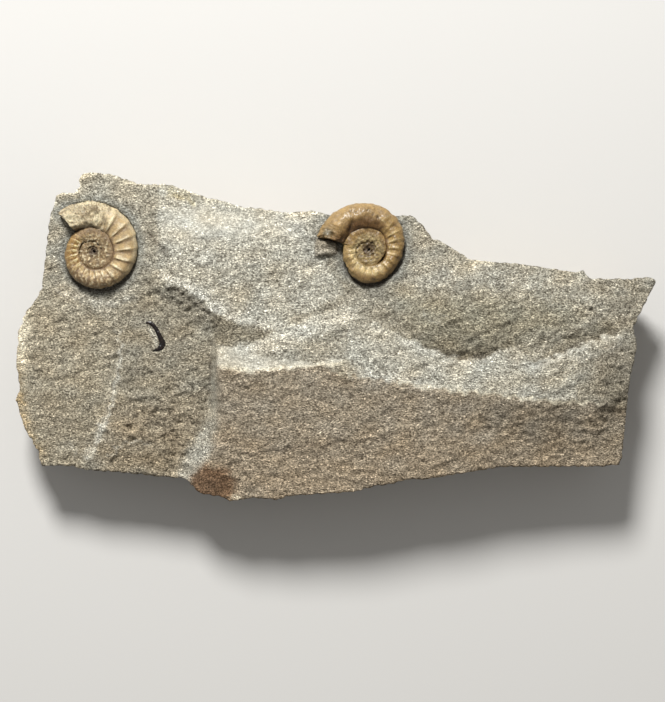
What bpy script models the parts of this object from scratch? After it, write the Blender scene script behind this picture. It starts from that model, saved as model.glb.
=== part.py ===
"""Slab of grey limestone with two ribbed ammonites and a sliver of black shell.

The slab lies on its flat back with the fossils on top. X runs along the slab, Y across it
and Z up. The origin is on the back, under the middle of the slab.
Every size below is in millimetres. The meshes are turned into metres when they are made.
"""

import math
import random

import bpy
import bmesh
from mathutils import Vector
from mathutils.geometry import delaunay_2d_cdt

MM = 0.001

# Driving dimensions of the slab
FACE_STEP = 3.7
EDGE_STEP = 3.4
BREAK_STEP = 4.2
FACE_JITTER = 0.7
FACE_ROUGHNESS = 0.16
FACE_CLEAR_OF_EDGE = 1.85
FACE_CLEAR_OF_BREAK = 1.67
FACE_CLEAR_OF_BED = 1.2
LEAST_EDGE_STEP = 1.0
SIDE_ROUGHNESS = 0.55
SIDE_RINGS = ((0.30, 0.12), (0.66, 0.42), (0.90, 0.74))
SIDE_INSET_SPREAD = (-0.03, 0.07)
SAME_PLACE = 0.02
SHARPEST_MITRE = 0.35
SEED = 11

# Outline of the broken front face: x, y and the height of the face at that point
TOP_EDGE = (
    (-68.5, 32, 13.6), (-68, 34.5, 13.6), (-66.5, 35, 13.6), (-63.5, 35, 14), (-62, 36.5, 14.4),
    (-62.5, 38.5, 14), (-61, 40, 14), (-54.5, 39.5, 14.4), (-47.5, 37, 15), (-40.5, 37, 15),
    (-30.5, 33.5, 15.6), (-27.5, 33, 15.6), (-23, 31.5, 16), (-18, 31, 16), (-12, 30, 16.4),
    (-5.5, 30.5, 16.4), (-1.5, 29.5, 17), (3.5, 29, 17), (9.5, 28.5, 17), (18, 29.5, 16),
    (19.5, 28.5, 16.4), (21.5, 26.5, 17.6), (23.5, 23.5, 18.4), (25.5, 23, 18.4),
    (32.5, 18.5, 20), (37, 18, 19.6), (44.5, 17.5, 19), (58, 15.5, 18), (60, 16, 17.6),
    (61.5, 14, 18), (71.5, 14, 16), (76.5, 14.5, 15),
)
RIGHT_EDGE = (
    (78, 13.5, 15), (77.5, 12.5, 15), (73.5, 5, 16.4), (72, 2, 17.6), (73, -2, 17.6),
    (71, -11.5, 18), (69.5, -29.5, 15.6),
)
BOTTOM_EDGE = (
    (69, -31, 15), (64.5, -31.5, 15.6), (40, -31.5, 18), (21.5, -34.5, 18.4), (17, -34.5, 18.4),
    (14, -35.5, 18.4), (10, -36, 18.4), (4.5, -37.5, 18), (-11, -38.5, 17.6), (-14, -39.5, 17),
    (-19.5, -39, 17), (-23, -39.5, 16.4), (-25.5, -40, 16), (-27, -39, 16), (-33, -38, 15),
    (-36.5, -34.5, 14.4), (-43, -34, 14), (-52.5, -33, 14), (-60.5, -32.5, 14),
    (-64.5, -31.5, 13.6), (-71.5, -31.5, 12.4),
)
LEFT_EDGE = (
    (-72, -31, 12.4), (-72.5, -28, 13), (-76, -22, 13), (-78, -15.5, 12.4),
    (-77, -12.5, 12.4), (-78, -6.5, 12.4), (-77.5, -2, 12.4), (-77.5, 1, 12.4),
    (-75.5, 6, 13), (-73, 9, 13.6), (-71.5, 12, 13.6), (-69.5, 29.5, 13.6),
)

# Edge of the flat bedding plane that the slab lies on, one stretch for each edge of the front
BACK_TOP = ((-62, 29), (-50, 33), (-24, 27), (6, 24), (24, 18), (48, 12), (66, 10))
BACK_RIGHT = ((71, 7), (68, 0), (66, -18))
BACK_BOTTOM = ((64, -27), (38, -27), (14, -31), (-12, -34), (-28, -33), (-44, -29), (-64, -27))
BACK_LEFT = ((-68, -24), (-73, -10), (-72, 1), (-66, 12))

# Sharp breaks across the front face, each a line of x, y and height
BREAKS = {
    "crest_west": (
        (-28, -7, 24.4), (-24.5, -8, 24.8), (-20, -8.5, 25), (-8.5, -7.5, 25.2),
        (-2.5, -7, 25.2), (3, -6, 24.8),
    ),
    "crest_east": (
        (1, -9.5, 25), (15.5, -11, 24.6), (27.5, -13, 24), (39.5, -14, 23.2), (50, -15.5, 22.4),
        (63.5, -16, 20.8), (66.5, -16.5, 19.4),
    ),
    "ledge_back": (
        (-28, -2, 21.8), (-23, -2.5, 22), (-17.5, -5, 23.4), (-8.5, -6, 24.1), (2.5, -5, 24.4),
    ),
    "roof_west": ((-16.5, -4, 24), (-13, -3, 24), (-8.5, -1, 24), (-3.5, 1, 24), (2.5, 3, 23.6)),
    "roof_east": ((2.5, 3, 23.6), (8.5, -0.5, 23.8), (15.5, -4, 23.8), (21.5, -6, 23.6)),
    "band_foot": (
        (-26, -1, 21.2), (-19.5, -1.5, 21.4), (-14.5, 1, 21.6), (-9.5, 4, 21.6),
        (-3.5, 5.5, 21.8), (2.5, 7.5, 21.6),
    ),
    "scoop_foot": (
        (2.5, 7.5, 21.6), (9.5, 4, 21), (13, 2.5, 20.8), (16.5, 0, 20.6), (21.5, -3, 20.4),
        (25, -4.5, 20.4), (30, -5, 20.4), (34.5, -5, 20.4), (39.5, -3.5, 20.6), (43, -2, 20.6),
    ),
    "spur_crest": ((46, -8.5, 22.4), (51.5, -5.2, 22), (60, -2.8, 20.8), (68.5, 0.2, 19)),
    "spur_foot": (
        (44.5, -5, 21.2), (50.5, -3.2, 20), (55.5, -1.2, 19.2), (62, 0, 18.8), (67, 2, 18.2),
    ),
    "plate_rim": (
        (-45.5, 14.5, 18.4), (-42.5, 14, 18.8), (-37.5, 12, 19.4), (-33, 9.5, 20),
        (-29, 6, 20.6), (-24, 3, 21), (-18.5, 0.5, 21.6),
    ),
    "plate_foot": ((-45, 11.5, 17.2), (-40, 9, 17.2), (-35, 5.5, 17.4), (-31.5, 1.5, 17.6)),
    "plate_west": ((-40.5, 31.5, 16.6), (-41.5, 27, 17.6), (-42, 23.5, 18.4), (-40, 19, 18.8)),
    "step_top": (
        (-28, -2, 21.8), (-28, -7, 24.4), (-27.5, -13, 23), (-26.5, -19, 21.6),
        (-27.5, -25, 20), (-29.5, -29.5, 18.6), (-31, -34, 17.2),
    ),
    "step_foot": (
        (-30, -2, 17.8), (-30, -7, 17.6), (-30, -13, 17.2), (-30.5, -16.5, 16.8),
        (-32, -22, 16.4), (-34, -26.5, 16), (-36, -32, 14.8),
    ),
    "west_crease_low": (
        (-55, 1.5, 15.8), (-54, -2, 15.6), (-54.5, -8, 15.6), (-56, -15.5, 15.2),
        (-58, -23, 14.6), (-61.5, -29, 14),
    ),
    "west_crease_high": (
        (-53, 1.5, 16.4), (-52, -2, 16.4), (-52.5, -8, 16.4), (-54, -15.5, 16.2),
        (-56.5, -22.5, 15.6), (-59.5, -29, 14.8),
    ),
}

# Heights of the open faces between the breaks
FACE_HEIGHTS = (
    # long lower face
    (-23, -20, 21.8), (-8.5, -22.5, 22), (8.5, -22.5, 22), (25, -23.5, 21.2), (42, -23.5, 20),
    (56.5, -24, 18.6), (64, -25, 17), (67, -21.5, 16.6), (-20.5, -32, 18.8), (-8.5, -32, 19.4),
    (6, -31, 19.8), (22.5, -28.5, 20.2), (-20.5, -15, 23.2), (1, -15, 23.6),
    # roof above the ledge
    (-8.5, -3.5, 24.2), (2.5, -1.5, 24), (12, -5.5, 24.4), (2.5, -7.5, 24.8), (15.5, -8, 24),
    # slope between the crest and the scoop
    (27.5, -9, 22.4), (39.5, -9, 22), (54, -11.5, 22.2), (61, -10, 21.6), (66.5, -8, 19.6),
    # scoop and right end
    (15.5, 9, 21.6), (20.5, 4, 21.6), (28.5, -0.5, 21.2), (37, 0.5, 21.6), (28.5, 5, 22.2),
    (39.5, 6.5, 22.2), (22.5, 11, 21.8), (32, 12.5, 22), (44, 11, 21.6), (50.5, 4, 21.2),
    (54, 10, 20.4), (59, 6.5, 19.8), (64, 9, 18.8), (69, 6.5, 17.6), (61.5, 2, 19.6),
    (39.5, 15, 20.6), (49, 14, 20), (64, 11.5, 18.2),
    # pale smooth plate
    (-37.5, 29.5, 16.8), (-32.5, 25.5, 18), (-23, 27, 17.6), (-13.5, 26, 17.8), (-6, 24.5, 18.2),
    (-32.5, 18.5, 19.2), (-20.5, 18.5, 19.8), (-8.5, 18, 20), (-25.5, 11, 20.6),
    (-13.5, 10, 21.2), (-3.5, 11, 21), (-18, 13.5, 20.4), (0, 9, 21.4), (-36.5, 15, 19.2),
    # around the right ammonite
    (-5.5, 21, 19.2), (-1.5, 15, 20.2), (2.5, 10.5, 20.4), (7.5, 10.5, 19.8), (13.5, 12.5, 20.2),
    (18, 18, 19.8), (18.5, 23.5, 19), (-2.5, 27, 18), (7.5, 21, 19.6),
    # around the left ammonite
    (-57, 37, 15.6), (-50, 34.5, 16.2), (-45, 32, 16.4), (-45, 24.5, 17.2), (-45.5, 19, 17.4),
    (-63.5, 33, 14.8), (-67.5, 26, 14.8), (-67, 18.5, 14.8), (-66, 12.5, 15), (-58.5, 21, 16.2),
    (-47.5, 15, 17.2), (-54.5, 9, 16.4), (-59.5, 6.5, 16.4), (-50, 11, 16.6),
    # left end
    (-72, 6.5, 13.8), (-67, 4, 15.2), (-59.5, 3, 15.8), (-73, -2, 14), (-67, -3.5, 15.2),
    (-59.5, -5.5, 15.6), (-73.5, -13, 13.6), (-67, -14, 15), (-73, -20.5, 13.6),
    (-67, -24, 14.4), (-69.5, -29, 13.4),
    # rough hollow between the step and the left end
    (-48.5, 6.5, 16.8), (-40, 3, 16.8), (-45, -3.5, 16.8), (-35, -3.5, 17.2), (-47.5, -13, 16.8),
    (-37.5, -13, 17.2), (-45, -21.5, 16.2), (-37.5, -22.5, 16.4), (-50, -29, 15.2),
    (-41.5, -30, 15),
)

# Gap between a fossil and its bed, and how far out the bed's wall reaches the face
FOSSIL_GAP = 0.32
WALL_SPREAD = 1.0

# The two shells. Radii are (angle, radius) pairs. The angle grows with the coiling, and the
# last pair of each list is at the broken end of the last whorl.
LEFT_SHELL = {
    "centre": (-58.4, 20.7, 16.6),
    "rise_to_right": 0.05,
    "rise_to_bottom": 0.07,
    "expansion": 2.05,
    "outer": (
        (135, 6.5), (180, 7.1), (225, 8.1), (270, 9.1), (315, 9.8), (360, 10.6), (405, 11.3),
        (450, 12.0), (495, 13.2),
    ),
    "seam": (
        (135, 3.2), (180, 3.5), (225, 3.9), (270, 4.4), (315, 4.7), (360, 4.6), (405, 4.6),
        (450, 5.4), (495, 6.5),
    ),
    "ribs_per_turn": 22,
    "worn_from": 430,
    "worn_until": 500,
    "half_width": 3.1,
}
RIGHT_SHELL = {
    "centre": (8.0, 21.0, 19.9),
    "rise_to_right": 0.0,
    "rise_to_bottom": 0.07,
    "expansion": 2.15,
    "outer": (
        (168, 6.1), (198, 6.5), (221, 6.9), (239, 7.7), (272, 8.3), (311, 7.9), (356, 8.4),
        (411, 10.2), (454, 11.2), (499, 12.3), (528, 13.1),
    ),
    "seam": (
        (168, 2.8), (198, 3.1), (239, 3.8), (272, 4.1), (317, 4.3), (360, 4.2), (411, 4.6),
        (454, 4.7), (499, 5.2), (528, 6.1),
    ),
    "ribs_per_turn": 23,
    "worn_from": 420,
    "worn_until": 470,
    "half_width": 3.1,
}
COLUMNS_PER_RIB = 3
LAST_WHORL_ROWS = 6
INNER_WHORL_ROWS = (2, 3)
RIB_DEPTH = 0.12
RIB_WEAR = 0.75
SEAM_LIFT = 0.22
SEAM_FADE_ANGLE = 60
STEEPEST_START = 0.9
WIDTH_TURN = 450
CENTRE_LIFT = 0.25
UNDERSIDE = ((0.86, 0.66), (0.52, 1.0))
UNDERSIDE_DEPTH = 2.3

# The black sliver: a line along its middle and its width there
SLIVER_LINE = (
    (-45.4, 3.3, 0.5), (-44.6, 2.9, 0.9), (-43.6, 2.3, 1.0), (-42.8, 1.3, 1.1),
    (-42.1, 0.2, 1.25), (-41.7, -1.0, 1.35), (-41.9, -2.0, 1.4), (-42.6, -2.8, 1.2),
    (-43.6, -3.4, 0.8),
)
SLIVER_FACE = 16.8
SLIVER_DEPTH = 1.6
SLIVER_PROUD = 0.25
SLIVER_SHOULDER = 0.05
SLIVER_GAP = 0.35
SLIVER_WALL_SPREAD = 0.5


# Small helpers for flat outlines


def clear_scene():
    for item in list(bpy.data.objects):
        bpy.data.objects.remove(item, do_unlink=True)


def resample(line, step, closed=False):
    """Points along a line at an even step, with its own corners kept."""
    points = []
    ends = list(line[1:]) + ([line[0]] if closed else [])
    for start, end in zip(line, ends):
        length = math.dist(start[:2], end[:2])
        count = max(1, round(length / step))
        for number in range(count):
            share = number / count
            points.append(tuple(a + (b - a) * share for a, b in zip(start, end)))
    if not closed:
        points.append(tuple(line[-1]))
    return points


def drop_close(points, least):
    """Leave out points that crowd the one before."""
    kept = [points[0]]
    for point in points[1:]:
        if math.dist(point[:2], kept[-1][:2]) >= least:
            kept.append(point)
    if math.dist(kept[-1][:2], kept[0][:2]) < least:
        kept.pop()
    return kept


def inside(x, y, outline):
    """True where a point lies inside a closed outline."""
    hit = False
    for (ax, ay), (bx, by) in zip(outline, outline[1:] + outline[:1]):
        if (ay > y) != (by > y) and x < ax + (bx - ax) * (y - ay) / (by - ay):
            hit = not hit
    return hit


def distance_to_line(x, y, line, closed=True):
    """Shortest distance from a point to a line of points."""
    best = math.inf
    ends = line[1:] + (line[:1] if closed else [])
    for (ax, ay), (bx, by) in zip(line, ends):
        run = (bx - ax) ** 2 + (by - ay) ** 2
        share = ((x - ax) * (bx - ax) + (y - ay) * (by - ay)) / run if run else 0.0
        share = min(1.0, max(0.0, share))
        best = min(best, math.hypot(x - ax - share * (bx - ax), y - ay - share * (by - ay)))
    return best


def offset(outline, amount):
    """A closed counter-clockwise outline moved outwards, with mitred corners."""
    moved = []
    count = len(outline)
    for number, (x, y) in enumerate(outline):
        before = outline[number - 1]
        after = outline[(number + 1) % count]
        normal_in = Vector((y - before[1], before[0] - x)).normalized()
        normal_out = Vector((after[1] - y, x - after[0])).normalized()
        mitre = normal_in + normal_out
        reach = max(SHARPEST_MITRE, mitre.length_squared / 2)
        mitre = mitre / reach
        moved.append((x + mitre.x * amount, y + mitre.y * amount))
    return moved


def cross(a, b, c):
    return (b[0] - a[0]) * (c[1] - a[1]) - (c[0] - a[0]) * (b[1] - a[1])


# Height of the front face anywhere, read from the breaks and the face heights


def front_outline():
    return list(TOP_EDGE + RIGHT_EDGE + BOTTOM_EDGE + LEFT_EDGE)


def height_net():
    """Triangles between all stated heights, with the breaks as edges."""
    spots = []
    edges = []

    def add(point):
        if point not in spots:
            spots.append(point)
        return spots.index(point)

    for line in BREAKS.values():
        numbers = [add(point) for point in line]
        edges += list(zip(numbers, numbers[1:]))
    for point in tuple(front_outline()) + FACE_HEIGHTS:
        add(point)
    flat = [Vector(point[:2]) for point in spots]
    points, _, faces, origins, _, _ = delaunay_2d_cdt(flat, edges, [], 0, 1e-6)
    heights = []
    for point, origin in zip(points, origins):
        source = spots[origin[0]] if origin else min(spots, key=lambda s: math.dist(s[:2], point))
        heights.append(source[2])
    return [
        tuple((points[corner].x, points[corner].y, heights[corner]) for corner in face)
        for face in faces
    ]


def face_height(net, x, y):
    """Height of the front face at a point, from the triangle of the net around it."""
    nearest = None
    nearest_gap = math.inf
    for a, b, c in net:
        area = cross(a, b, c)
        if abs(area) < 1e-9:
            continue
        shares = (
            cross((x, y), b, c) / area,
            cross((x, y), c, a) / area,
            cross((x, y), a, b) / area,
        )
        gap = -min(shares)
        if gap < nearest_gap:
            nearest_gap = gap
            nearest = shares[0] * a[2] + shares[1] * b[2] + shares[2] * c[2]
        if gap <= 0:
            break
    return nearest


# The coiled shell


def station_value(stations, angle):
    """A smooth curve through (angle, radius) pairs, growing evenly between them."""
    for number in range(len(stations) - 1):
        if angle <= stations[number + 1][0]:
            break
    before = stations[max(0, number - 1)]
    start = stations[number]
    end = stations[number + 1]
    after = stations[min(len(stations) - 1, number + 2)]
    span = end[0] - start[0]
    share = (angle - start[0]) / span
    slope_in = (end[1] - before[1]) / (end[0] - before[0]) * span
    slope_out = (after[1] - start[1]) / (after[0] - start[0]) * span
    square = share * share
    cube = square * share
    return (
        (2 * cube - 3 * square + 1) * start[1]
        + (cube - 2 * square + share) * slope_in
        + (3 * square - 2 * cube) * end[1]
        + (cube - square) * slope_out
    )


def seam_radius(shell, angle):
    """Radius of the line where a whorl meets the one inside it."""
    start = shell["seam"][0][0]
    scale = 1.0
    while angle < start:
        angle += 360
        scale /= shell["expansion"]
    return station_value(shell["seam"], angle) * scale


def end_angle(shell):
    return shell["outer"][-1][0]


def shell_columns(shell):
    """Angles of the radial sections of one turn of the last whorl, from its start to its end."""
    count = shell["ribs_per_turn"] * COLUMNS_PER_RIB
    return [end_angle(shell) - 360 + 360 * number / count for number in range(count + 1)]


def half_width(shell, angle):
    """Half the thickness of the coil, which shrinks inwards with the coiling."""
    turns = (angle - end_angle(shell)) / WIDTH_TURN
    return shell["half_width"] * shell["expansion"] ** turns


def rib_height(shell, angle, column):
    """1 on a rib's crest and less in the grooves. Worn stretches have weak ribs."""
    if column % COLUMNS_PER_RIB == 0:
        return 1.0
    wear = (angle - shell["worn_from"]) / (shell["worn_until"] - shell["worn_from"])
    wear = min(1.0, max(0.0, wear))
    return 1.0 - RIB_DEPTH * (1.0 - RIB_WEAR * wear)


def seam_lift(shell, angle):
    """Height of the seam over the middle plane. It falls to zero at the broken end."""
    fade = min(1.0, (end_angle(shell) - angle) / SEAM_FADE_ANGLE)
    return SEAM_LIFT * half_width(shell, angle) * max(0.0, fade)


def section(shell, angle, rows, last_whorl, column):
    """Points (radius, height) from the seam, over the flank, to the outer limit."""
    inner = seam_radius(shell, angle)
    width = half_width(shell, angle)
    low_in = seam_lift(shell, angle)
    if last_whorl:
        outer = station_value(shell["outer"], angle)
        low_out = 0.0
    else:
        outer = seam_radius(shell, angle + 360)
        low_out = seam_lift(shell, angle + 360)
    start = math.asin(min(STEEPEST_START, low_in / width))
    end = math.pi - math.asin(min(STEEPEST_START, low_out / width))
    reach = (outer - inner) / (math.cos(start) - math.cos(end))
    middle = inner + reach * math.cos(start)
    points = []
    for row in range(rows + 1):
        turn = start + (end - start) * row / rows
        on_seam = row == 0 or (row == rows and not last_whorl)
        swell = 1.0 if on_seam else rib_height(shell, angle, column)
        points.append((middle - reach * math.cos(turn) * swell, width * math.sin(turn) * swell))
    return points


def shell_point(shell, angle, radius, height):
    """A point of the shell in the slab's frame. The coil leans a little on its bed."""
    turn = math.radians(angle)
    x = radius * math.cos(turn)
    y = radius * math.sin(turn)
    centre = shell["centre"]
    lean = x * shell["rise_to_right"] - y * shell["rise_to_bottom"]
    return (centre[0] + x, centre[1] + y, centre[2] + height + lean)


def shell_outline(shell):
    """The outer edge of the coil seen from above, counter-clockwise."""
    points = []
    for angle in shell_columns(shell)[::2] + [end_angle(shell)]:
        point = shell_point(shell, angle, station_value(shell["outer"], angle), 0.0)[:2]
        if not points or math.dist(point, points[-1]) > 0.2:
            points.append(point)
    return points


def shell_mesh(shell):
    """One closed body: ribbed whorls above, a plain flat underside, and the broken end."""
    columns = shell_columns(shell)
    turn_count = len(columns) - 1
    mesh = bmesh.new()

    def vertex(angle, radius, height):
        return mesh.verts.new([MM * value for value in shell_point(shell, angle, radius, height)])

    # last whorl first. Its end sits on the outer edge of its own start
    top_rows = []
    for column, angle in enumerate(columns):
        profile = section(shell, angle, LAST_WHORL_ROWS, True, column)
        shared = [top_rows[0][-1]] if column == turn_count else []
        made = [vertex(angle, radius, height) for radius, height in profile[len(shared):]]
        top_rows.append(shared + made)

    # then each turn inside it. A seam vertex is shared by two whorls
    strips = [top_rows]
    outer_seam = [row[0] for row in top_rows]
    for turn, rows in enumerate(reversed(INNER_WHORL_ROWS), start=1):
        inner_rows = []
        for column, angle in enumerate(columns[:-1]):
            inner_angle = angle - 360 * turn
            profile = section(shell, inner_angle, rows, False, column)
            made = [vertex(inner_angle, radius, height) for radius, height in profile[:-1]]
            inner_rows.append(made + [outer_seam[column]])
        strips.append(inner_rows)
        outer_seam = [row[0] for row in inner_rows]

    join_whorls(mesh, strips)
    fill_centre(mesh, shell, strips[-1], turn_count)
    underside = [shell_underside(shell, vertex, columns, step) for step in UNDERSIDE]
    close_underside(mesh, top_rows, underside)
    bmesh.ops.recalc_face_normals(mesh, faces=mesh.faces)
    return mesh


def join_whorls(mesh, strips):
    """Faces between neighbouring sections. A turn's end joins the start of the one outside."""
    for number, strip in enumerate(strips):
        whole = strip + [strips[number - 1][0]] if number else strip
        for near, far in zip(whole, whole[1:]):
            bridge(mesh, near, far)


def bridge(mesh, near, far):
    """Triangles between two rows of vertices that may hold different numbers of them."""
    a = 0
    b = 0
    while a < len(near) - 1 or b < len(far) - 1:
        step_a = (a + 1) / (len(near) - 1) if a < len(near) - 1 else math.inf
        step_b = (b + 1) / (len(far) - 1) if b < len(far) - 1 else math.inf
        if step_a <= step_b:
            corners = (near[a], near[a + 1], far[b])
            a += 1
        else:
            corners = (near[a], far[b + 1], far[b])
            b += 1
        if len(set(corners)) == 3:
            mesh.faces.new(corners)


def fill_centre(mesh, shell, strip, count):
    """A small dimpled cap in the middle of the coil."""
    rim = [strip[column][0] for column in range(count)] + list(reversed(strip[0]))[:-1]
    x, y, z = shell_point(shell, 0.0, 0.0, CENTRE_LIFT)
    centre = mesh.verts.new((x * MM, y * MM, z * MM))
    for first, second in zip(rim, rim[1:] + rim[:1]):
        if first is not second:
            mesh.faces.new((first, second, centre))


def shell_underside(shell, vertex, columns, step):
    """One ring of the plain underside, at a share of the outer radius and of the depth."""
    reach, depth = step
    ring = []
    for angle in columns:
        inner = seam_radius(shell, angle)
        outer = station_value(shell["outer"], angle)
        radius = inner + (outer - inner) * reach
        ring.append(vertex(angle, radius, -UNDERSIDE_DEPTH * depth))
    return ring


def close_underside(mesh, top_rows, underside):
    """The lower flank, the flat bottom and the broken end of the last whorl."""
    rim = [row[-1] for row in top_rows]
    rings = [rim] + underside
    for upper, lower in zip(rings, rings[1:]):
        for number in range(len(upper) - 1):
            corners = (upper[number], upper[number + 1], lower[number + 1], lower[number])
            mesh.faces.new(corners)
    mesh.faces.new(underside[-1])
    start = [ring[0] for ring in rings]
    end = [ring[-1] for ring in reversed(rings[1:])]
    mesh.faces.new(start + end + list(reversed(top_rows[-1][1:])))


# The black sliver


def sliver_sides(grow):
    """Left and right edges of the sliver seen from above, each grown outwards."""
    left = []
    right = []
    count = len(SLIVER_LINE)
    for number, (x, y, width) in enumerate(SLIVER_LINE):
        before = SLIVER_LINE[max(0, number - 1)]
        after = SLIVER_LINE[min(count - 1, number + 1)]
        along = Vector((after[0] - before[0], after[1] - before[1])).normalized()
        side = Vector((-along.y, along.x)) * (width / 2 + grow)
        push = 0.0
        if number == 0:
            push = -grow
        if number == count - 1:
            push = grow
        left.append((x + side.x + along.x * push, y + side.y + along.y * push))
        right.append((x - side.x + along.x * push, y - side.y + along.y * push))
    return left, right


def sliver_outline(grow):
    left, right = sliver_sides(grow)
    return right + list(reversed(left))


def sliver_mesh():
    """A bent strip with a rounded top and a flat bottom."""
    mesh = bmesh.new()
    left, right = sliver_sides(0.0)
    shoulder = SLIVER_FACE - SLIVER_SHOULDER
    crown = SLIVER_FACE + SLIVER_PROUD
    bottom = SLIVER_FACE - SLIVER_DEPTH
    rings = []
    for (lx, ly), (rx, ry), (x, y, _) in zip(left, right, SLIVER_LINE):
        corners = (
            (lx, ly, bottom), (lx, ly, shoulder), (x, y, crown), (rx, ry, shoulder),
            (rx, ry, bottom),
        )
        rings.append([mesh.verts.new([MM * value for value in corner]) for corner in corners])
    for near, far in zip(rings, rings[1:]):
        for number in range(len(near)):
            after = (number + 1) % len(near)
            mesh.faces.new((near[number], near[after], far[after], far[number]))
    mesh.faces.new(rings[0])
    mesh.faces.new(rings[-1])
    bmesh.ops.recalc_face_normals(mesh, faces=mesh.faces)
    return mesh


# The slab


def shell_bed_height(shell, x, y):
    """Floor of a shell's bed, parallel to the coil and just under it."""
    centre = shell["centre"]
    lean = (x - centre[0]) * shell["rise_to_right"] - (y - centre[1]) * shell["rise_to_bottom"]
    return centre[2] - UNDERSIDE_DEPTH - FOSSIL_GAP + lean


def bed_loops():
    """Two loops around each fossil: the foot of its bed's wall and the top of the wall."""
    beds = []
    for shell in (LEFT_SHELL, RIGHT_SHELL):
        outline = shell_outline(shell)
        floor = (lambda x, y, shell=shell: shell_bed_height(shell, x, y))
        beds.append((offset(outline, FOSSIL_GAP), offset(outline, WALL_SPREAD), floor))
    foot = sliver_outline(SLIVER_GAP)
    brim = sliver_outline(SLIVER_WALL_SPREAD)
    beds.append((foot, brim, lambda x, y: SLIVER_FACE - SLIVER_DEPTH - SLIVER_GAP))
    return beds


def ground_height(net, beds, x, y):
    """Height of the finished front: the bed of a fossil inside its foot line, else the face."""
    for foot, _, floor in beds:
        if inside(x, y, foot) or distance_to_line(x, y, foot) < SAME_PLACE:
            return floor(x, y)
    return face_height(net, x, y)


def clear_of_lines(x, y, outline, lines, beds):
    """True where a loose point keeps its distance from the rim, the breaks and the beds."""
    if not inside(x, y, outline) or distance_to_line(x, y, outline) < FACE_CLEAR_OF_EDGE:
        return False
    if any(distance_to_line(x, y, line, False) < FACE_CLEAR_OF_BREAK for line in lines):
        return False
    return not any(
        inside(x, y, brim) or distance_to_line(x, y, brim) < FACE_CLEAR_OF_BED
        for _, brim, _ in beds
    )


def scatter_points(outline, lines, beds, chance):
    """Loose points of the front face on a staggered grid, clear of every line."""
    points = []
    row_step = FACE_STEP * math.sqrt(3) / 2
    low_x, high_x = min(x for x, _ in outline), max(x for x, _ in outline)
    low_y, high_y = min(y for _, y in outline), max(y for _, y in outline)
    for row in range(int((high_y - low_y) / row_step) + 1):
        for column in range(int((high_x - low_x) / FACE_STEP) + 1):
            x = low_x + (column + 0.5 * (row % 2)) * FACE_STEP + chance.uniform(-1, 1) * FACE_JITTER
            y = low_y + row * row_step + chance.uniform(-1, 1) * FACE_JITTER
            if clear_of_lines(x, y, outline, lines, beds):
                points.append((x, y))
    return points


def front_face():
    """Points and triangles of the front, and its rim in order."""
    chance = random.Random(SEED)
    net = height_net()
    beds = bed_loops()
    edge = drop_close(resample(front_outline(), EDGE_STEP, True), LEAST_EDGE_STEP)
    outline = [point[:2] for point in edge]
    lines = [[point[:2] for point in resample(line, BREAK_STEP)] for line in BREAKS.values()]

    spots = []
    edges = []

    def add(line, closed):
        first = len(spots)
        spots.extend(line)
        last = first + len(line) - 1
        edges.extend((number, number + 1) for number in range(first, last))
        if closed:
            edges.append((last, first))

    add(outline, True)
    for line in lines:
        add(line, False)
    for foot, brim, _ in beds:
        add(foot, True)
        add(brim, True)
    loose_from = len(spots)
    spots.extend(scatter_points(outline, lines, beds, chance))

    flat = [Vector(spot) for spot in spots]
    found, _, faces, origins, _, _ = delaunay_2d_cdt(flat, edges, [], 0, 1e-5)
    points = []
    for spot, origin in zip(found, origins):
        height = ground_height(net, beds, spot.x, spot.y)
        if origin and min(origin) >= loose_from:
            height += chance.uniform(-1, 1) * FACE_ROUGHNESS
        points.append((spot.x, spot.y, height))
    kept = [face for face in faces if keep_face(points, face, outline)]
    return points, kept, rim_of(kept)


def keep_face(points, face, outline):
    x = sum(points[corner][0] for corner in face) / len(face)
    y = sum(points[corner][1] for corner in face) / len(face)
    return inside(x, y, outline)


def rim_of(faces):
    """The open edge of the front as one ordered loop of point numbers."""
    sides = set()
    for face in faces:
        for start, end in zip(face, face[1:] + face[:1]):
            sides.add((start, end))
    after = {start: end for start, end in sides if (end, start) not in sides}
    loop = [min(after)]
    while after[loop[-1]] != loop[0]:
        loop.append(after[loop[-1]])
    return loop


def travelled(line):
    """Distance along a closed line at each of its points, and its whole length."""
    total = 0.0
    marks = []
    for start, end in zip(line, line[1:] + line[:1]):
        marks.append(total)
        total += math.dist(start[:2], end[:2])
    return marks, total


def place_along(x, y, line, marks):
    """Distance along a closed line of the point on it that is nearest to x, y."""
    best = math.inf
    place = 0.0
    for number, (start, end) in enumerate(zip(line, line[1:] + line[:1])):
        run = math.dist(start[:2], end[:2])
        share = (x - start[0]) * (end[0] - start[0]) + (y - start[1]) * (end[1] - start[1])
        share = min(1.0, max(0.0, share / run ** 2))
        spot = (start[0] + share * (end[0] - start[0]), start[1] + share * (end[1] - start[1]))
        gap = math.dist((x, y), spot)
        if gap < best:
            best = gap
            place = marks[number] + share * run
    return place


def point_at(line, marks, total, distance):
    """The point of a closed line at a distance along it."""
    distance %= total
    number = max(n for n, mark in enumerate(marks) if mark <= distance)
    start = line[number]
    end = line[(number + 1) % len(line)]
    share = (distance - marks[number]) / math.dist(start, end)
    return (start[0] + share * (end[0] - start[0]), start[1] + share * (end[1] - start[1]))


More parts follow.
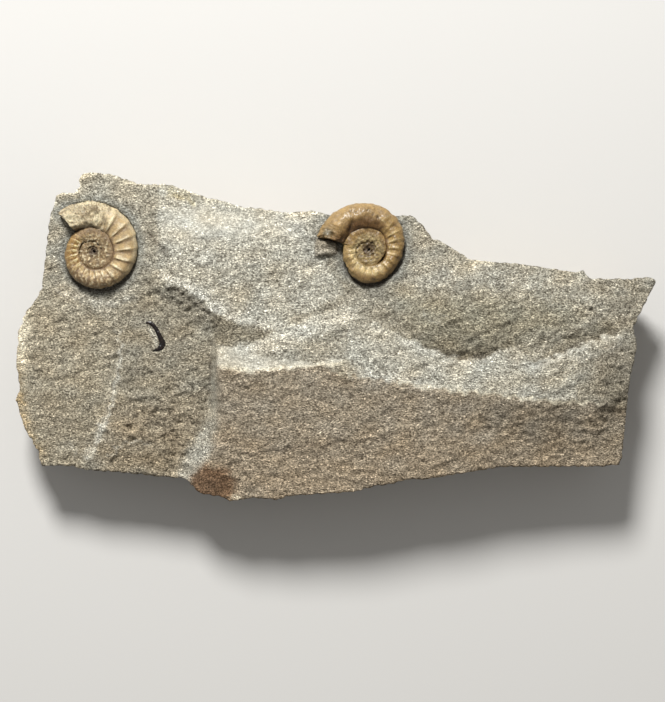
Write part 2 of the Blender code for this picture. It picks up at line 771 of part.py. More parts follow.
def back_point_finder():
    """Matches each place on the front outline to one on the edge of the bedding plane."""
    front = front_outline()
    front_marks, front_total = travelled(front)
    stretches = (TOP_EDGE, RIGHT_EDGE, BOTTOM_EDGE, LEFT_EDGE)
    back_stretches = (BACK_TOP, BACK_RIGHT, BACK_BOTTOM, BACK_LEFT)
    back = [point for stretch in back_stretches for point in stretch]
    back_marks, back_total = travelled(back)
    front_stops = [front_marks[sum(len(s) for s in stretches[:n])] for n in range(4)]
    back_stops = [back_marks[sum(len(s) for s in back_stretches[:n])] for n in range(4)]
    front_stops.append(front_total)
    back_stops.append(back_total)

    def find(x, y):
        place = place_along(x, y, front, front_marks)
        stretch = max(n for n in range(4) if front_stops[n] <= place)
        share = (place - front_stops[stretch]) / (front_stops[stretch + 1] - front_stops[stretch])
        target = back_stops[stretch] + share * (back_stops[stretch + 1] - back_stops[stretch])
        return point_at(back, back_marks, back_total, target)

    return find


def slab_mesh():
    """One closed body: the relief above, broken sides that run inwards, and a flat back."""
    chance = random.Random(SEED + 1)
    points, faces, rim = front_face()
    find_back = back_point_finder()
    mesh = bmesh.new()
    front = {}
    for face in faces:
        for corner in face:
            if corner not in front:
                front[corner] = mesh.verts.new([MM * value for value in points[corner]])
        mesh.faces.new([front[corner] for corner in face])

    rings = [[front[number] for number in rim]]
    partners = [find_back(*points[number][:2]) for number in rim]
    for drop, inset in SIDE_RINGS:
        ring = []
        for number, (back_x, back_y) in zip(rim, partners):
            x, y, top = points[number]
            share = inset + chance.uniform(*SIDE_INSET_SPREAD)
            height = top * (1 - drop) + chance.uniform(-1, 1) * SIDE_ROUGHNESS
            place = (x + (back_x - x) * share, y + (back_y - y) * share, height)
            ring.append(mesh.verts.new([MM * value for value in place]))
        rings.append(ring)
    rings.append([mesh.verts.new((MM * x, MM * y, 0.0)) for x, y in partners])
    for upper, lower in zip(rings, rings[1:]):
        for number in range(len(upper)):
            after = (number + 1) % len(upper)
            mesh.faces.new((upper[number], lower[number], lower[after], upper[after]))
    mesh.faces.new(rings[-1])
    bmesh.ops.triangulate(mesh, faces=[face for face in mesh.faces if len(face.verts) == 4])
    bmesh.ops.recalc_face_normals(mesh, faces=mesh.faces)
    return mesh


# Materials and objects


def make_material(name, colour, roughness):
    material = bpy.data.materials.new(name)
    material.use_nodes = True
    shader = material.node_tree.nodes["Principled BSDF"]
    shader.inputs["Base Color"].default_value = (*colour, 1.0)
    shader.inputs["Roughness"].default_value = roughness
    shader.inputs["Metallic"].default_value = 0.0
    material.diffuse_color = (*colour, 1.0)
    return material


def add_piece(name, mesh, material, smooth_below=None):
    data = bpy.data.meshes.new(name)
    mesh.to_mesh(data)
    mesh.free()
    if smooth_below is not None:
        data.shade_smooth()
        data.set_sharp_from_angle(angle=math.radians(smooth_below))
    data.materials.append(material)
    piece = bpy.data.objects.new(name, data)
    bpy.context.scene.collection.objects.link(piece)
    return piece


def main():
    clear_scene()
    limestone = make_material("grey_limestone", (0.30, 0.27, 0.21), 0.9)
    golden_calcite = make_material("golden_calcite", (0.46, 0.27, 0.10), 0.4)
    amber_calcite = make_material("amber_calcite", (0.42, 0.22, 0.07), 0.3)
    black_shell = make_material("black_shell", (0.02, 0.015, 0.012), 0.25)
    add_piece("matrix_slab", slab_mesh(), limestone)
    add_piece("ammonite_left", shell_mesh(LEFT_SHELL), golden_calcite, 40)
    add_piece("ammonite_right", shell_mesh(RIGHT_SHELL), amber_calcite, 40)
    add_piece("black_shell_sliver", sliver_mesh(), black_shell)


main()
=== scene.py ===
# %% [markdown]
# # A slab of limestone with two ammonites
# The real object is a broken slab of sandy grey limestone, about 155 mm long. Two coiled
# fossil shells of golden calcite stand out of its upper face, and a bent sliver of black
# shell lies between them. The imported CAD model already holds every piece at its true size.
# This script gives each piece its fine surface and its finish, around that model.
# Lengths are in millimetres here, and become metres where a mesh is made.

# %% Load the frame
import math

import bpy
import numpy as np
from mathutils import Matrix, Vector
from mathutils.geometry import delaunay_2d_cdt


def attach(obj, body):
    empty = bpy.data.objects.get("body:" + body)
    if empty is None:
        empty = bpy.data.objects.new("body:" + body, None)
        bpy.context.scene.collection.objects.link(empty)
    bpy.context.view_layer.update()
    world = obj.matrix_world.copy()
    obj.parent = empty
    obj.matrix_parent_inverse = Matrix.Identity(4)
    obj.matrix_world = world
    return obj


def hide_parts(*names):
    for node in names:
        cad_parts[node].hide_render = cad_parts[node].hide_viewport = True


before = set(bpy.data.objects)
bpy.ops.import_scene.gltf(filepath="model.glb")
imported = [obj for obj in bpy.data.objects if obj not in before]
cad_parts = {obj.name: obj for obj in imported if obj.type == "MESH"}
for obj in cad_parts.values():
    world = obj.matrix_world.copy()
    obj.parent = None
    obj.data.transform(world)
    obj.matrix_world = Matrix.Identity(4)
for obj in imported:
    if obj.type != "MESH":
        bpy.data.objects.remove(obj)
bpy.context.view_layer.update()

MM = 0.001
scene = bpy.context.scene
print("pieces in the frame:", ", ".join(sorted(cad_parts)))

# %% [markdown]
# ## The camera
# The slab lies on its back, so the camera hangs straight over it and looks down. A long lens
# keeps the far ends of a flat thing from spreading. The picture is 665 by 702 pixels, and its
# taller side takes in 170 mm at the height of the slab's face.

# %% Hang the camera over the slab
FACE_LEVEL = 17.0
VIEW_DISTANCE = 472.0
VIEW_CENTRE = (-0.7, -3.5)
LENS = 100.0
SENSOR = 36.0
NEAREST_SEEN = 0.01


def hang_camera():
    data = bpy.data.cameras.new("camera")
    data.lens = LENS
    data.sensor_width = SENSOR
    data.clip_start = NEAREST_SEEN
    camera = bpy.data.objects.new("camera", data)
    height = FACE_LEVEL + VIEW_DISTANCE
    camera.location = (VIEW_CENTRE[0] * MM, VIEW_CENTRE[1] * MM, height * MM)
    scene.collection.objects.link(camera)
    scene.camera = camera


hang_camera()
print("view is", round(SENSOR / LENS * VIEW_DISTANCE), "mm tall at the face")

# %% [markdown]
# ## The shape of the broken face
# A slab that splits under a hammer shows a few large faces that meet in sharp breaks. Noise
# alone never gives that. So the face is drawn as a sparse net: its outline, the lines of the
# breaks and a few loose heights, each with x, y and height. Triangles between them give the
# large faces, and a blur away from the breaks takes off their corners.

# %% Outline of the face
TOP_EDGE = (
    (-68.5, 32, 13.6), (-68, 34.5, 13.6), (-66.5, 35, 13.6), (-63.5, 35, 14), (-62, 36.5, 14.4),
    (-62.5, 38.5, 14), (-61, 40, 14), (-54.5, 39.5, 14.4), (-47.5, 37, 15), (-40.5, 37, 15),
    (-30.5, 33.5, 15.6), (-27.5, 33, 15.6), (-23, 31.5, 16), (-18, 31, 16), (-12, 30, 16.4),
    (-5.5, 30.5, 16.4), (-1.5, 29.5, 17), (3.5, 29, 17), (9.5, 28.5, 17), (18, 29.5, 16),
    (19.5, 28.5, 16.4), (21.5, 26.5, 17.6), (23.5, 23.5, 18.4), (25.5, 23, 18.4),
    (32.5, 18.5, 20), (37, 18, 19.6), (44.5, 17.5, 19), (58, 15.5, 18), (60, 16, 17.6),
    (61.5, 14, 18), (71.5, 14, 16), (76.5, 14.5, 15),
)
RIGHT_EDGE = (
    (78, 13.5, 15), (77.5, 12.5, 15), (73.5, 5, 16.4), (72, 2, 17.6), (73, -2, 17.6),
    (71, -11.5, 18), (69.5, -29.5, 15.6),
)
BOTTOM_EDGE = (
    (69, -31, 15), (64.5, -31.5, 15.6), (40, -31.5, 18), (21.5, -34.5, 18.4), (17, -34.5, 18.4),
    (14, -35.5, 18.4), (10, -36, 18.4), (4.5, -37.5, 18), (-11, -38.5, 17.6), (-14, -39.5, 17),
    (-19.5, -39, 17), (-23, -39.5, 16.4), (-25.5, -40, 16), (-27, -39, 16), (-33, -38, 15),
    (-36.5, -34.5, 14.4), (-43, -34, 14), (-52.5, -33, 14), (-60.5, -32.5, 14),
    (-64.5, -31.5, 13.6), (-71.5, -31.5, 12.4),
)
LEFT_EDGE = (
    (-72, -31, 12.4), (-72.5, -28, 13), (-76, -22, 13), (-78, -15.5, 12.4),
    (-77, -12.5, 12.4), (-78, -6.5, 12.4), (-77.5, -2, 12.4), (-77.5, 1, 12.4),
    (-75.5, 6, 13), (-73, 9, 13.6), (-71.5, 12, 13.6), (-69.5, 29.5, 13.6),
)
FRONT_EDGES = (TOP_EDGE, RIGHT_EDGE, BOTTOM_EDGE, LEFT_EDGE)
OUTLINE = [point for edge in FRONT_EDGES for point in edge]
BACK_EDGES = (
    ((-62, 29), (-50, 33), (-24, 27), (6, 24), (24, 18), (48, 12), (66, 10)),
    ((71, 7), (68, 0), (66, -18)),
    ((64, -27), (38, -27), (14, -31), (-12, -34), (-28, -33), (-44, -29), (-64, -27)),
    ((-68, -24), (-73, -10), (-72, 1), (-66, 12)),
)
print("outline has", len(OUTLINE), "corners")

# %% Breaks and loose heights of the face
BREAKS = {
    "crest_west": (
        (-28, -7, 24.4), (-24.5, -8, 24.8), (-20, -8.5, 25), (-8.5, -7.5, 25.2),
        (-2.5, -7, 25.2), (3, -6, 24.8),
    ),
    "crest_east": (
        (1, -9.5, 25), (15.5, -11, 24.6), (27.5, -13, 24), (39.5, -14, 23.2), (50, -15.5, 22.4),
        (63.5, -16, 20.8), (66.5, -16.5, 19.4),
    ),
    "ledge_back": (
        (-28, -2, 21.8), (-23, -2.5, 22), (-17.5, -5, 23.4), (-8.5, -6, 24.1), (2.5, -5, 24.4),
    ),
    "roof_west": ((-16.5, -4, 24), (-13, -3, 24), (-8.5, -1, 24), (-3.5, 1, 24), (2.5, 3, 23.6)),
    "roof_east": ((2.5, 3, 23.6), (8.5, -0.5, 23.8), (15.5, -4, 23.8), (21.5, -6, 23.6)),
    "band_foot": (
        (-26, -1, 21.2), (-19.5, -1.5, 21.4), (-14.5, 1, 21.6), (-9.5, 4, 21.6),
        (-3.5, 5.5, 21.8), (2.5, 7.5, 21.6),
    ),
    "scoop_foot": (
        (2.5, 7.5, 21.6), (9.5, 4, 21), (13, 2.5, 20.8), (16.5, 0, 20.6), (21.5, -3, 20.4),
        (25, -4.5, 20.4), (30, -5, 20.4), (34.5, -5, 20.4), (39.5, -3.5, 20.6), (43, -2, 20.6),
    ),
    "spur_crest": ((46, -8.5, 22.4), (51.5, -5.2, 22), (60, -2.8, 20.8), (68.5, 0.2, 19)),
    "spur_foot": (
        (44.5, -5, 21.2), (50.5, -3.2, 20), (55.5, -1.2, 19.2), (62, 0, 18.8), (67, 2, 18.2),
    ),
    "plate_rim": (
        (-45.5, 14.5, 18.4), (-42.5, 14, 18.8), (-37.5, 12, 19.4), (-33, 9.5, 20),
        (-29, 6, 20.6), (-24, 3, 21), (-18.5, 0.5, 21.6),
    ),
    "plate_foot": ((-45, 11.5, 17.2), (-40, 9, 17.2), (-35, 5.5, 17.4), (-31.5, 1.5, 17.6)),
    "plate_west": ((-40.5, 31.5, 16.6), (-41.5, 27, 17.6), (-42, 23.5, 18.4), (-40, 19, 18.8)),
    "step_top": (
        (-28, -2, 21.8), (-28, -7, 24.4), (-27.5, -13, 23), (-26.5, -19, 21.6),
        (-27.5, -25, 20), (-29.5, -29.5, 18.6), (-31, -34, 17.2),
    ),
    "step_foot": (
        (-30, -2, 17.8), (-30, -7, 17.6), (-30, -13, 17.2), (-30.5, -16.5, 16.8),
        (-32, -22, 16.4), (-34, -26.5, 16), (-36, -32, 14.8),
    ),
    "west_crease_low": (
        (-55, 1.5, 15.8), (-54, -2, 15.6), (-54.5, -8, 15.6), (-56, -15.5, 15.2),
        (-58, -23, 14.6), (-61.5, -29, 14),
    ),
    "west_crease_high": (
        (-53, 1.5, 16.4), (-52, -2, 16.4), (-52.5, -8, 16.4), (-54, -15.5, 16.2),
        (-56.5, -22.5, 15.6), (-59.5, -29, 14.8),
    ),
}
LONG_LOWER_FACE = (
    (-23, -20, 21.8), (-8.5, -22.5, 22), (8.5, -22.5, 22), (25, -23.5, 21.2), (42, -23.5, 20),
    (56.5, -24, 18.6), (64, -25, 17), (67, -21.5, 16.6), (-20.5, -32, 18.8), (-8.5, -32, 19.4),
    (6, -31, 19.8), (22.5, -28.5, 20.2), (-20.5, -15, 23.2), (1, -15, 23.6),
)
ROOF_AND_SLOPE = (
    (-8.5, -3.5, 24.2), (2.5, -1.5, 24), (12, -5.5, 24.4), (2.5, -7.5, 24.8), (15.5, -8, 24),
    (27.5, -9, 22.4), (39.5, -9, 22), (54, -11.5, 22.2), (61, -10, 21.6), (66.5, -8, 19.6),
)
SCOOP = (
    (15.5, 9, 21.6), (20.5, 4, 21.6), (28.5, -0.5, 21.2), (37, 0.5, 21.6), (28.5, 5, 22.2),
    (39.5, 6.5, 22.2), (22.5, 11, 21.8), (32, 12.5, 22), (44, 11, 21.6), (50.5, 4, 21.2),
    (54, 10, 20.4), (59, 6.5, 19.8), (64, 9, 18.8), (69, 6.5, 17.6), (61.5, 2, 19.6),
    (39.5, 15, 20.6), (49, 14, 20), (64, 11.5, 18.2),
)
PALE_PLATE = (
    (-37.5, 29.5, 16.8), (-32.5, 25.5, 18), (-23, 27, 17.6), (-13.5, 26, 17.8), (-6, 24.5, 18.2),
    (-32.5, 18.5, 19.2), (-20.5, 18.5, 19.8), (-8.5, 18, 20), (-25.5, 11, 20.6),
    (-13.5, 10, 21.2), (-3.5, 11, 21), (-18, 13.5, 20.4), (0, 9, 21.4), (-36.5, 15, 19.2),
)
AROUND_THE_SHELLS = (
    (-5.5, 21, 19.2), (-1.5, 15, 20.2), (2.5, 10.5, 20.4), (7.5, 10.5, 19.8), (13.5, 12.5, 20.2),
    (18, 18, 19.8), (18.5, 23.5, 19), (-2.5, 27, 18), (7.5, 21, 19.6),
    (-57, 37, 15.6), (-50, 34.5, 16.2), (-45, 32, 16.4), (-45, 24.5, 17.2), (-45.5, 19, 17.4),
    (-63.5, 33, 14.8), (-67.5, 26, 14.8), (-67, 18.5, 14.8), (-66, 12.5, 15), (-58.5, 21, 16.2),
    (-47.5, 15, 17.2), (-54.5, 9, 16.4), (-59.5, 6.5, 16.4), (-50, 11, 16.6),
)
LEFT_END = (
    (-72, 6.5, 13.8), (-67, 4, 15.2), (-59.5, 3, 15.8), (-73, -2, 14), (-67, -3.5, 15.2),
    (-59.5, -5.5, 15.6), (-73.5, -13, 13.6), (-67, -14, 15), (-73, -20.5, 13.6),
    (-67, -24, 14.4), (-69.5, -29, 13.4),
)
ROUGH_HOLLOW = (
    (-48.5, 6.5, 16.8), (-40, 3, 16.8), (-45, -3.5, 16.8), (-35, -3.5, 17.2), (-47.5, -13, 16.8),
    (-37.5, -13, 17.2), (-45, -21.5, 16.2), (-37.5, -22.5, 16.4), (-50, -29, 15.2),
    (-41.5, -30, 15),
)
LOOSE_HEIGHTS = (
    LONG_LOWER_FACE + ROOF_AND_SLOPE + SCOOP + PALE_PLATE + AROUND_THE_SHELLS + LEFT_END
    + ROUGH_HOLLOW
)
print(len(BREAKS), "breaks and", len(LOOSE_HEIGHTS), "loose heights")

# %% [markdown]
# ## A map to work on
# Blurs, distances and noise are easy on a grid of numbers. The map has a cell of a quarter of
# a millimetre, which is finer than the mesh will be. Every later step adds a layer to it, and
# the mesh reads its heights and colours from it at the end.

# %% Set up the map
CELL = 0.25
MAP_LOW = (-83.0, -46.0)
MAP_COLUMNS = 664
MAP_ROWS = 368
map_x, map_y = np.meshgrid(
    MAP_LOW[0] + CELL * np.arange(MAP_COLUMNS),
    MAP_LOW[1] + CELL * np.arange(MAP_ROWS),
)
print("map is", MAP_COLUMNS, "by", MAP_ROWS, "cells of", CELL, "mm")

# %% Blurs and noise
PAD = 60
TORN_SHARES = (1.0, 0.62, 0.40, 0.26)


def frequencies(shape, cells=(CELL, CELL)):
    """Waves per millimetre of each term of a Fourier transform, along y and along x."""
    along_y = np.fft.fftfreq(shape[0], cells[0])[:, None]
    return along_y, np.fft.rfftfreq(shape[1], cells[1])[None, :]


def soften(field, width):
    """Blur a map by a width in millimetres."""
    wide = np.pad(field, PAD, mode="edge")
    along_y, along_x = frequencies(wide.shape)
    keep = np.exp(-2 * (math.pi * width) ** 2 * (along_x ** 2 + along_y ** 2))
    soft = np.fft.irfft2(np.fft.rfft2(wide) * keep, wide.shape)
    return soft[PAD:-PAD, PAD:-PAD]


def grain(rng, wide, tall, turn=0.0, shape=(MAP_ROWS, MAP_COLUMNS), cells=(CELL, CELL)):
    """Random bumps of a given width and height in millimetres, turned by some degrees."""
    along_y, along_x = frequencies(shape, cells)
    cosine = math.cos(math.radians(turn))
    sine = math.sin(math.radians(turn))
    waves = ((along_x * cosine + along_y * sine) * wide) ** 2
    waves = waves + ((along_y * cosine - along_x * sine) * tall) ** 2
    chance = np.fft.rfft2(rng.standard_normal(shape))
    field = np.fft.irfft2(chance * waves * np.exp(-waves), shape)
    return field / field.std()


def torn_grain(rng, wide, tall, turn=0.0, shape=(MAP_ROWS, MAP_COLUMNS), cells=(CELL, CELL)):
    """Random bumps that carry ever smaller bumps, as a torn surface does."""
    total = 0.0
    for halving, share in enumerate(TORN_SHARES):
        scale = 0.5 ** halving
        total = total + share * grain(rng, wide * scale, tall * scale, turn, shape, cells)
    return total / np.std(total)


print("blurs reach", round(PAD * CELL), "mm past the edge of the map")

# %% Lines and outlines on the map


def seen_from_above(line):
    """The x and y of each point of a line."""
    return [point[:2] for point in line]


def gap_to(line, x=map_x, y=map_y, closed=False):
    """Distance from each spot to a line of points."""
    best = np.full(np.shape(x), np.inf)
    points = list(line) + ([line[0]] if closed else [])
    for start, end in zip(points, points[1:]):
        run_x = end[0] - start[0]
        run_y = end[1] - start[1]
        length = max(run_x ** 2 + run_y ** 2, 1e-12)
        share = np.clip(((x - start[0]) * run_x + (y - start[1]) * run_y) / length, 0.0, 1.0)
        gap = np.hypot(x - start[0] - share * run_x, y - start[1] - share * run_y)
        best = np.minimum(best, gap)
    return best


def within(outline, x=map_x, y=map_y):
    """True for each spot inside a closed outline."""
    hit = np.zeros(np.shape(x), bool)
    for start, end in zip(outline, list(outline[1:]) + [outline[0]]):
        if start[1] == end[1]:
            continue
        spans = (start[1] > y) != (end[1] > y)
        edge = start[0] + (end[0] - start[0]) * (y - start[1]) / (end[1] - start[1])
        hit ^= spans & (x < edge)
    return hit


def patch(outline, feather):
    """1 inside an outline and 0 outside, with a soft edge."""
    return soften(within(outline).astype(float), feather)


def fading(gap, start, fade):
    """1 up to a distance, then fading to 0."""
    return np.exp(-(np.maximum(gap - start, 0) / fade) ** 2)


def stroke(line, width):
    """1 on a line, fading to 0 beside it."""
    return fading(gap_to(line), 0.0, width)


print("the outline holds", round(within(OUTLINE).sum() * CELL ** 2), "square mm")

# %% Smooth steps, and values between the cells


def ramp(value, low, high):
    """0 below low, 1 above high and smooth between."""
    share = np.clip((value - low) / (high - low), 0.0, 1.0)
    return share * share * (3 - 2 * share)


def terraces(field, per_unit):
    """Turn slopes into flat treads and steep risers."""
    level = np.floor(field * per_unit)
    return (level + ramp(field * per_unit - level, 0.25, 0.75)) / per_unit


def read_map(field, x, y):
    """Values of a map at any spots, between its cells."""
    column = np.clip((x - MAP_LOW[0]) / CELL, 0, MAP_COLUMNS - 1.001)
    row = np.clip((y - MAP_LOW[1]) / CELL, 0, MAP_ROWS - 1.001)
    left = column.astype(int)
    low = row.astype(int)
    across = column - left
    up = row - low
    if field.ndim == 3:
        across = across[:, None]
        up = up[:, None]
    lower = field[low, left] * (1 - across) + field[low, left + 1] * across
    upper = field[low + 1, left] * (1 - across) + field[low + 1, left + 1] * across
    return lower * (1 - up) + upper * up


print("a step from 0 to 1 is at", float(ramp(0.25, 0, 1)), "a quarter of the way")

# %% Triangles between the stated heights
CRISP_BLUR = 0.3
FACE_BLUR = 1.9
BREAK_REACH = 2.4
FAINT = 1e-4
LEVEL_BEYOND = 15.0


def net_triangles():
    """Triangles between all stated heights, with the breaks kept as edges."""
    spots = []
    edges = []
    for line in BREAKS.values():
        numbers = []
        for point in line:
            if point not in spots:
                spots.append(point)
            numbers.append(spots.index(point))
        edges += list(zip(numbers, numbers[1:]))
    spots += [point for point in tuple(OUTLINE) + LOOSE_HEIGHTS if point not in spots]
    flat = [Vector(spot) for spot in seen_from_above(spots)]
    points, _, faces, origins, _, _ = delaunay_2d_cdt(flat, edges, [], 0, 1e-6)
    solid = []
    for point, origin in zip(points, origins):
        near = spots[origin[0]] if origin else min(spots, key=lambda s: math.dist(s[:2], point))
        solid.append((point.x, point.y, near[2]))
    return [[solid[corner] for corner in face] for face in faces]


def paint_triangle(field, a, b, c):
    """Fill a triangle's cells with its own sloping height."""
    area = (b[0] - a[0]) * (c[1] - a[1]) - (c[0] - a[0]) * (b[1] - a[1])
    if abs(area) < 1e-9:
        return
    low = [min(a[n], b[n], c[n]) for n in (0, 1)]
    high = [max(a[n], b[n], c[n]) for n in (0, 1)]
    first = [max(0, int((low[n] - MAP_LOW[n]) / CELL)) for n in (0, 1)]
    last = [int((high[n] - MAP_LOW[n]) / CELL) + 2 for n in (0, 1)]
    window = (slice(first[1], last[1]), slice(first[0], last[0]))
    x = map_x[window]
    y = map_y[window]
    share_b = ((x - a[0]) * (c[1] - a[1]) - (c[0] - a[0]) * (y - a[1])) / area
    share_c = ((b[0] - a[0]) * (y - a[1]) - (x - a[0]) * (b[1] - a[1])) / area
    inside = (share_b > -1e-6) & (share_c > -1e-6) & (share_b + share_c < 1 + 1e-6)
    height = a[2] + share_b * (b[2] - a[2]) + share_c * (c[2] - a[2])
    field[window] = np.where(inside, height, field[window])


print(len(net_triangles()), "triangles lie between the stated heights")

# %% Draw the large faces on the map


def large_faces():
    """The map of heights, blurred everywhere but at the breaks."""
    raw = np.full(map_x.shape, np.nan)
    for corners in net_triangles():
        paint_triangle(raw, *corners)
    known = np.isfinite(raw)
    filled = np.where(known, raw, 0.0)
    weight = soften(known.astype(float), FACE_BLUR) + FAINT
    spread = (soften(filled, FACE_BLUR) + FAINT * LEVEL_BEYOND) / weight
    filled = np.where(known, raw, spread)
    near = np.zeros(map_x.shape)
    for line in BREAKS.values():
        near = np.maximum(near, stroke(seen_from_above(line), BREAK_REACH))
    return near * soften(filled, CRISP_BLUR) + (1 - near) * soften(filled, FACE_BLUR)


face = large_faces()
print("face heights run from", round(face.min(), 1), "to", round(face.max(), 1), "mm")

# %% [markdown]
# ## Uneven breaks
# No break in stone runs straight for long. All large shapes and all patches of colour are
# read through one wandering shift of a fraction of a millimetre, so that their edges crumble
# together.

# %% Wander the map
ROCK_SEED = 20
STEP_LINE = ((-29, -1), (-29, -7), (-29, -13), (-29, -19), (-31, -25), (-34, -32))
STEP_HOLD = 0.85
STEP_REACH = 2.6
WANDERS = ((0.28, 4.5, 3.0), (0.16, 1.7, 1.3))
rng = np.random.default_rng(ROCK_SEED)
loose_edge = 1 - STEP_HOLD * stroke(STEP_LINE, STEP_REACH)


def edge_shift():
    """How far each spot is read from its own place, in millimetres."""
    return loose_edge * sum(reach * grain(rng, wide, tall) for reach, wide, tall in WANDERS)


shift_x = edge_shift()
shift_y = edge_shift()


def crumbled(field):
    """The map with its edges made uneven."""
    return read_map(field, map_x + shift_x, map_y + shift_y)


face = crumbled(face)
print("edges wander by", round(float(np.abs(shift_x).mean()), 2), "mm on average")

# %% [markdown]
# ## The two shells, as measurements
# An ammonite is a tube that coils in a plane. Each whorl is about twice as wide as the one
# inside it. Two radii at each angle say it all: the outer edge, and the seam where a whorl
# meets the one inside it. The rock needs these outlines too, because each shell lies in a
# trench that was scraped out around it.

# %% Measurements of the shells
LEFT_SHELL = {
    "name": "ammonite_left",
    "centre": (-58.4, 20.7, 16.6),
    "rise_to_right": 0.05,
    "rise_to_bottom": 0.07,
    "growth": 2.05,
    "outer": (
        (135, 6.5), (180, 7.1), (225, 8.1), (270, 9.1), (315, 9.8), (360, 10.6), (405, 11.3),
        (450, 12.0), (495, 13.2),
    ),
    "seam": (
        (135, 3.2), (180, 3.5), (225, 3.9), (270, 4.4), (315, 4.7), (360, 4.6), (405, 4.6),
        (450, 5.4), (495, 6.5),
    ),
    "pitch": 14.2,
    "wider_pitch": 18.6,
    "wider_from": 305,
    "steep": 0.2,
    "worn_from": 425,
    "worn_until": 455,
    "half_width": 3.1,
    "rib_depth": 0.17,
    "lean": -3.0,
    "inner_spread": 0.01,
}
RIGHT_SHELL = {
    "name": "ammonite_right",
    "centre": (8.0, 21.0, 19.9),
    "rise_to_right": 0.0,
    "rise_to_bottom": 0.07,
    "growth": 2.15,
    "outer": (
        (168, 6.1), (198, 6.5), (221, 6.9), (239, 7.7), (272, 8.3), (311, 7.9), (356, 8.4),
        (411, 10.2), (454, 11.2), (499, 12.3), (528, 13.1),
    ),
    "seam": (
        (168, 2.8), (198, 3.1), (239, 3.8), (272, 4.1), (317, 4.3), (360, 4.2), (411, 4.6),
        (454, 4.7), (499, 5.2), (528, 6.1),
    ),
    "pitch": 16.4,
    "wider_pitch": 15.4,
    "wider_from": 301,
    "steep": 0.38,
    "worn_from": 403,
    "worn_until": 430,
    "half_width": 3.1,
    "rib_depth": 0.14,
    "lean": 2.0,
    "inner_spread": 0.09,
}
SHELLS = (LEFT_SHELL, RIGHT_SHELL)
for shell in SHELLS:
    angles, radii = zip(*shell["outer"])
    widest = radii[-1] + float(np.interp(angles[-1] - 180, angles, radii))
    print(shell["name"], "is", round(widest, 1), "mm across from its end")

# %% Outlines of the shells


def end_angle(shell):
    """Where the coil ends, in degrees."""
    return shell["outer"][-1][0]


def smooth_stations(stations, angles):
    """A smooth curve through (angle, radius) pairs."""
    at = np.array([station[0] for station in stations], float)
    radius = np.array([station[1] for station in stations], float)
    slope = np.gradient(radius, at)
    number = np.clip(np.searchsorted(at, angles, side="right") - 1, 0, len(at) - 2)
    span = at[number + 1] - at[number]
    t = (angles - at[number]) / span
    return (
        (2 * t ** 3 - 3 * t ** 2 + 1) * radius[number]
        + (t ** 3 - 2 * t ** 2 + t) * slope[number] * span
        + (3 * t ** 2 - 2 * t ** 3) * radius[number + 1]
        + (t ** 3 - t ** 2) * slope[number + 1] * span
    )


def shell_outline(shell, grow, step=3.0):
    """The coil's edge seen from above, moved outwards, as a list of points."""
    turn = np.arange(end_angle(shell) - 360, end_angle(shell) + 0.1, step)
    radius = smooth_stations(shell["outer"], turn) + grow
    angle = np.radians(turn)
    x = shell["centre"][0] + radius * np.cos(angle)
    y = shell["centre"][1] + radius * np.sin(angle)
    past = end_angle(shell) + math.degrees(grow / radius[-1])
    corner = (
        shell["centre"][0] + radius[-1] * math.cos(math.radians(past)),
        shell["centre"][1] + radius[-1] * math.sin(math.radians(past)),
    )
    return list(zip(x.tolist(), y.tolist())) + [corner]


def rise_at(shell, right, up):
    """How much the coil's middle plane has risen at a distance from its centre."""
    return right * shell["rise_to_right"] - up * shell["rise_to_bottom"]


def middle_plane(shell, x, y):
    """Height of the coil's middle plane, which leans a little."""
    centre = shell["centre"]
    return centre[2] + rise_at(shell, x - centre[0], y - centre[1])


shell_gaps = {}
for shell in SHELLS:
    edge = shell_outline(shell, 0.0)
    gap = gap_to(edge, closed=True)
    shell_gaps[shell["name"]] = np.where(within(edge), -gap, gap)
    print(shell["name"], "covers", round(within(edge).sum() * CELL ** 2), "square mm")

# %% [markdown]
# ## The parts of the face
# Each part of the face broke in its own way, and has its own roughness and colour. Outlines
# name these parts, each with the width of its soft edge.

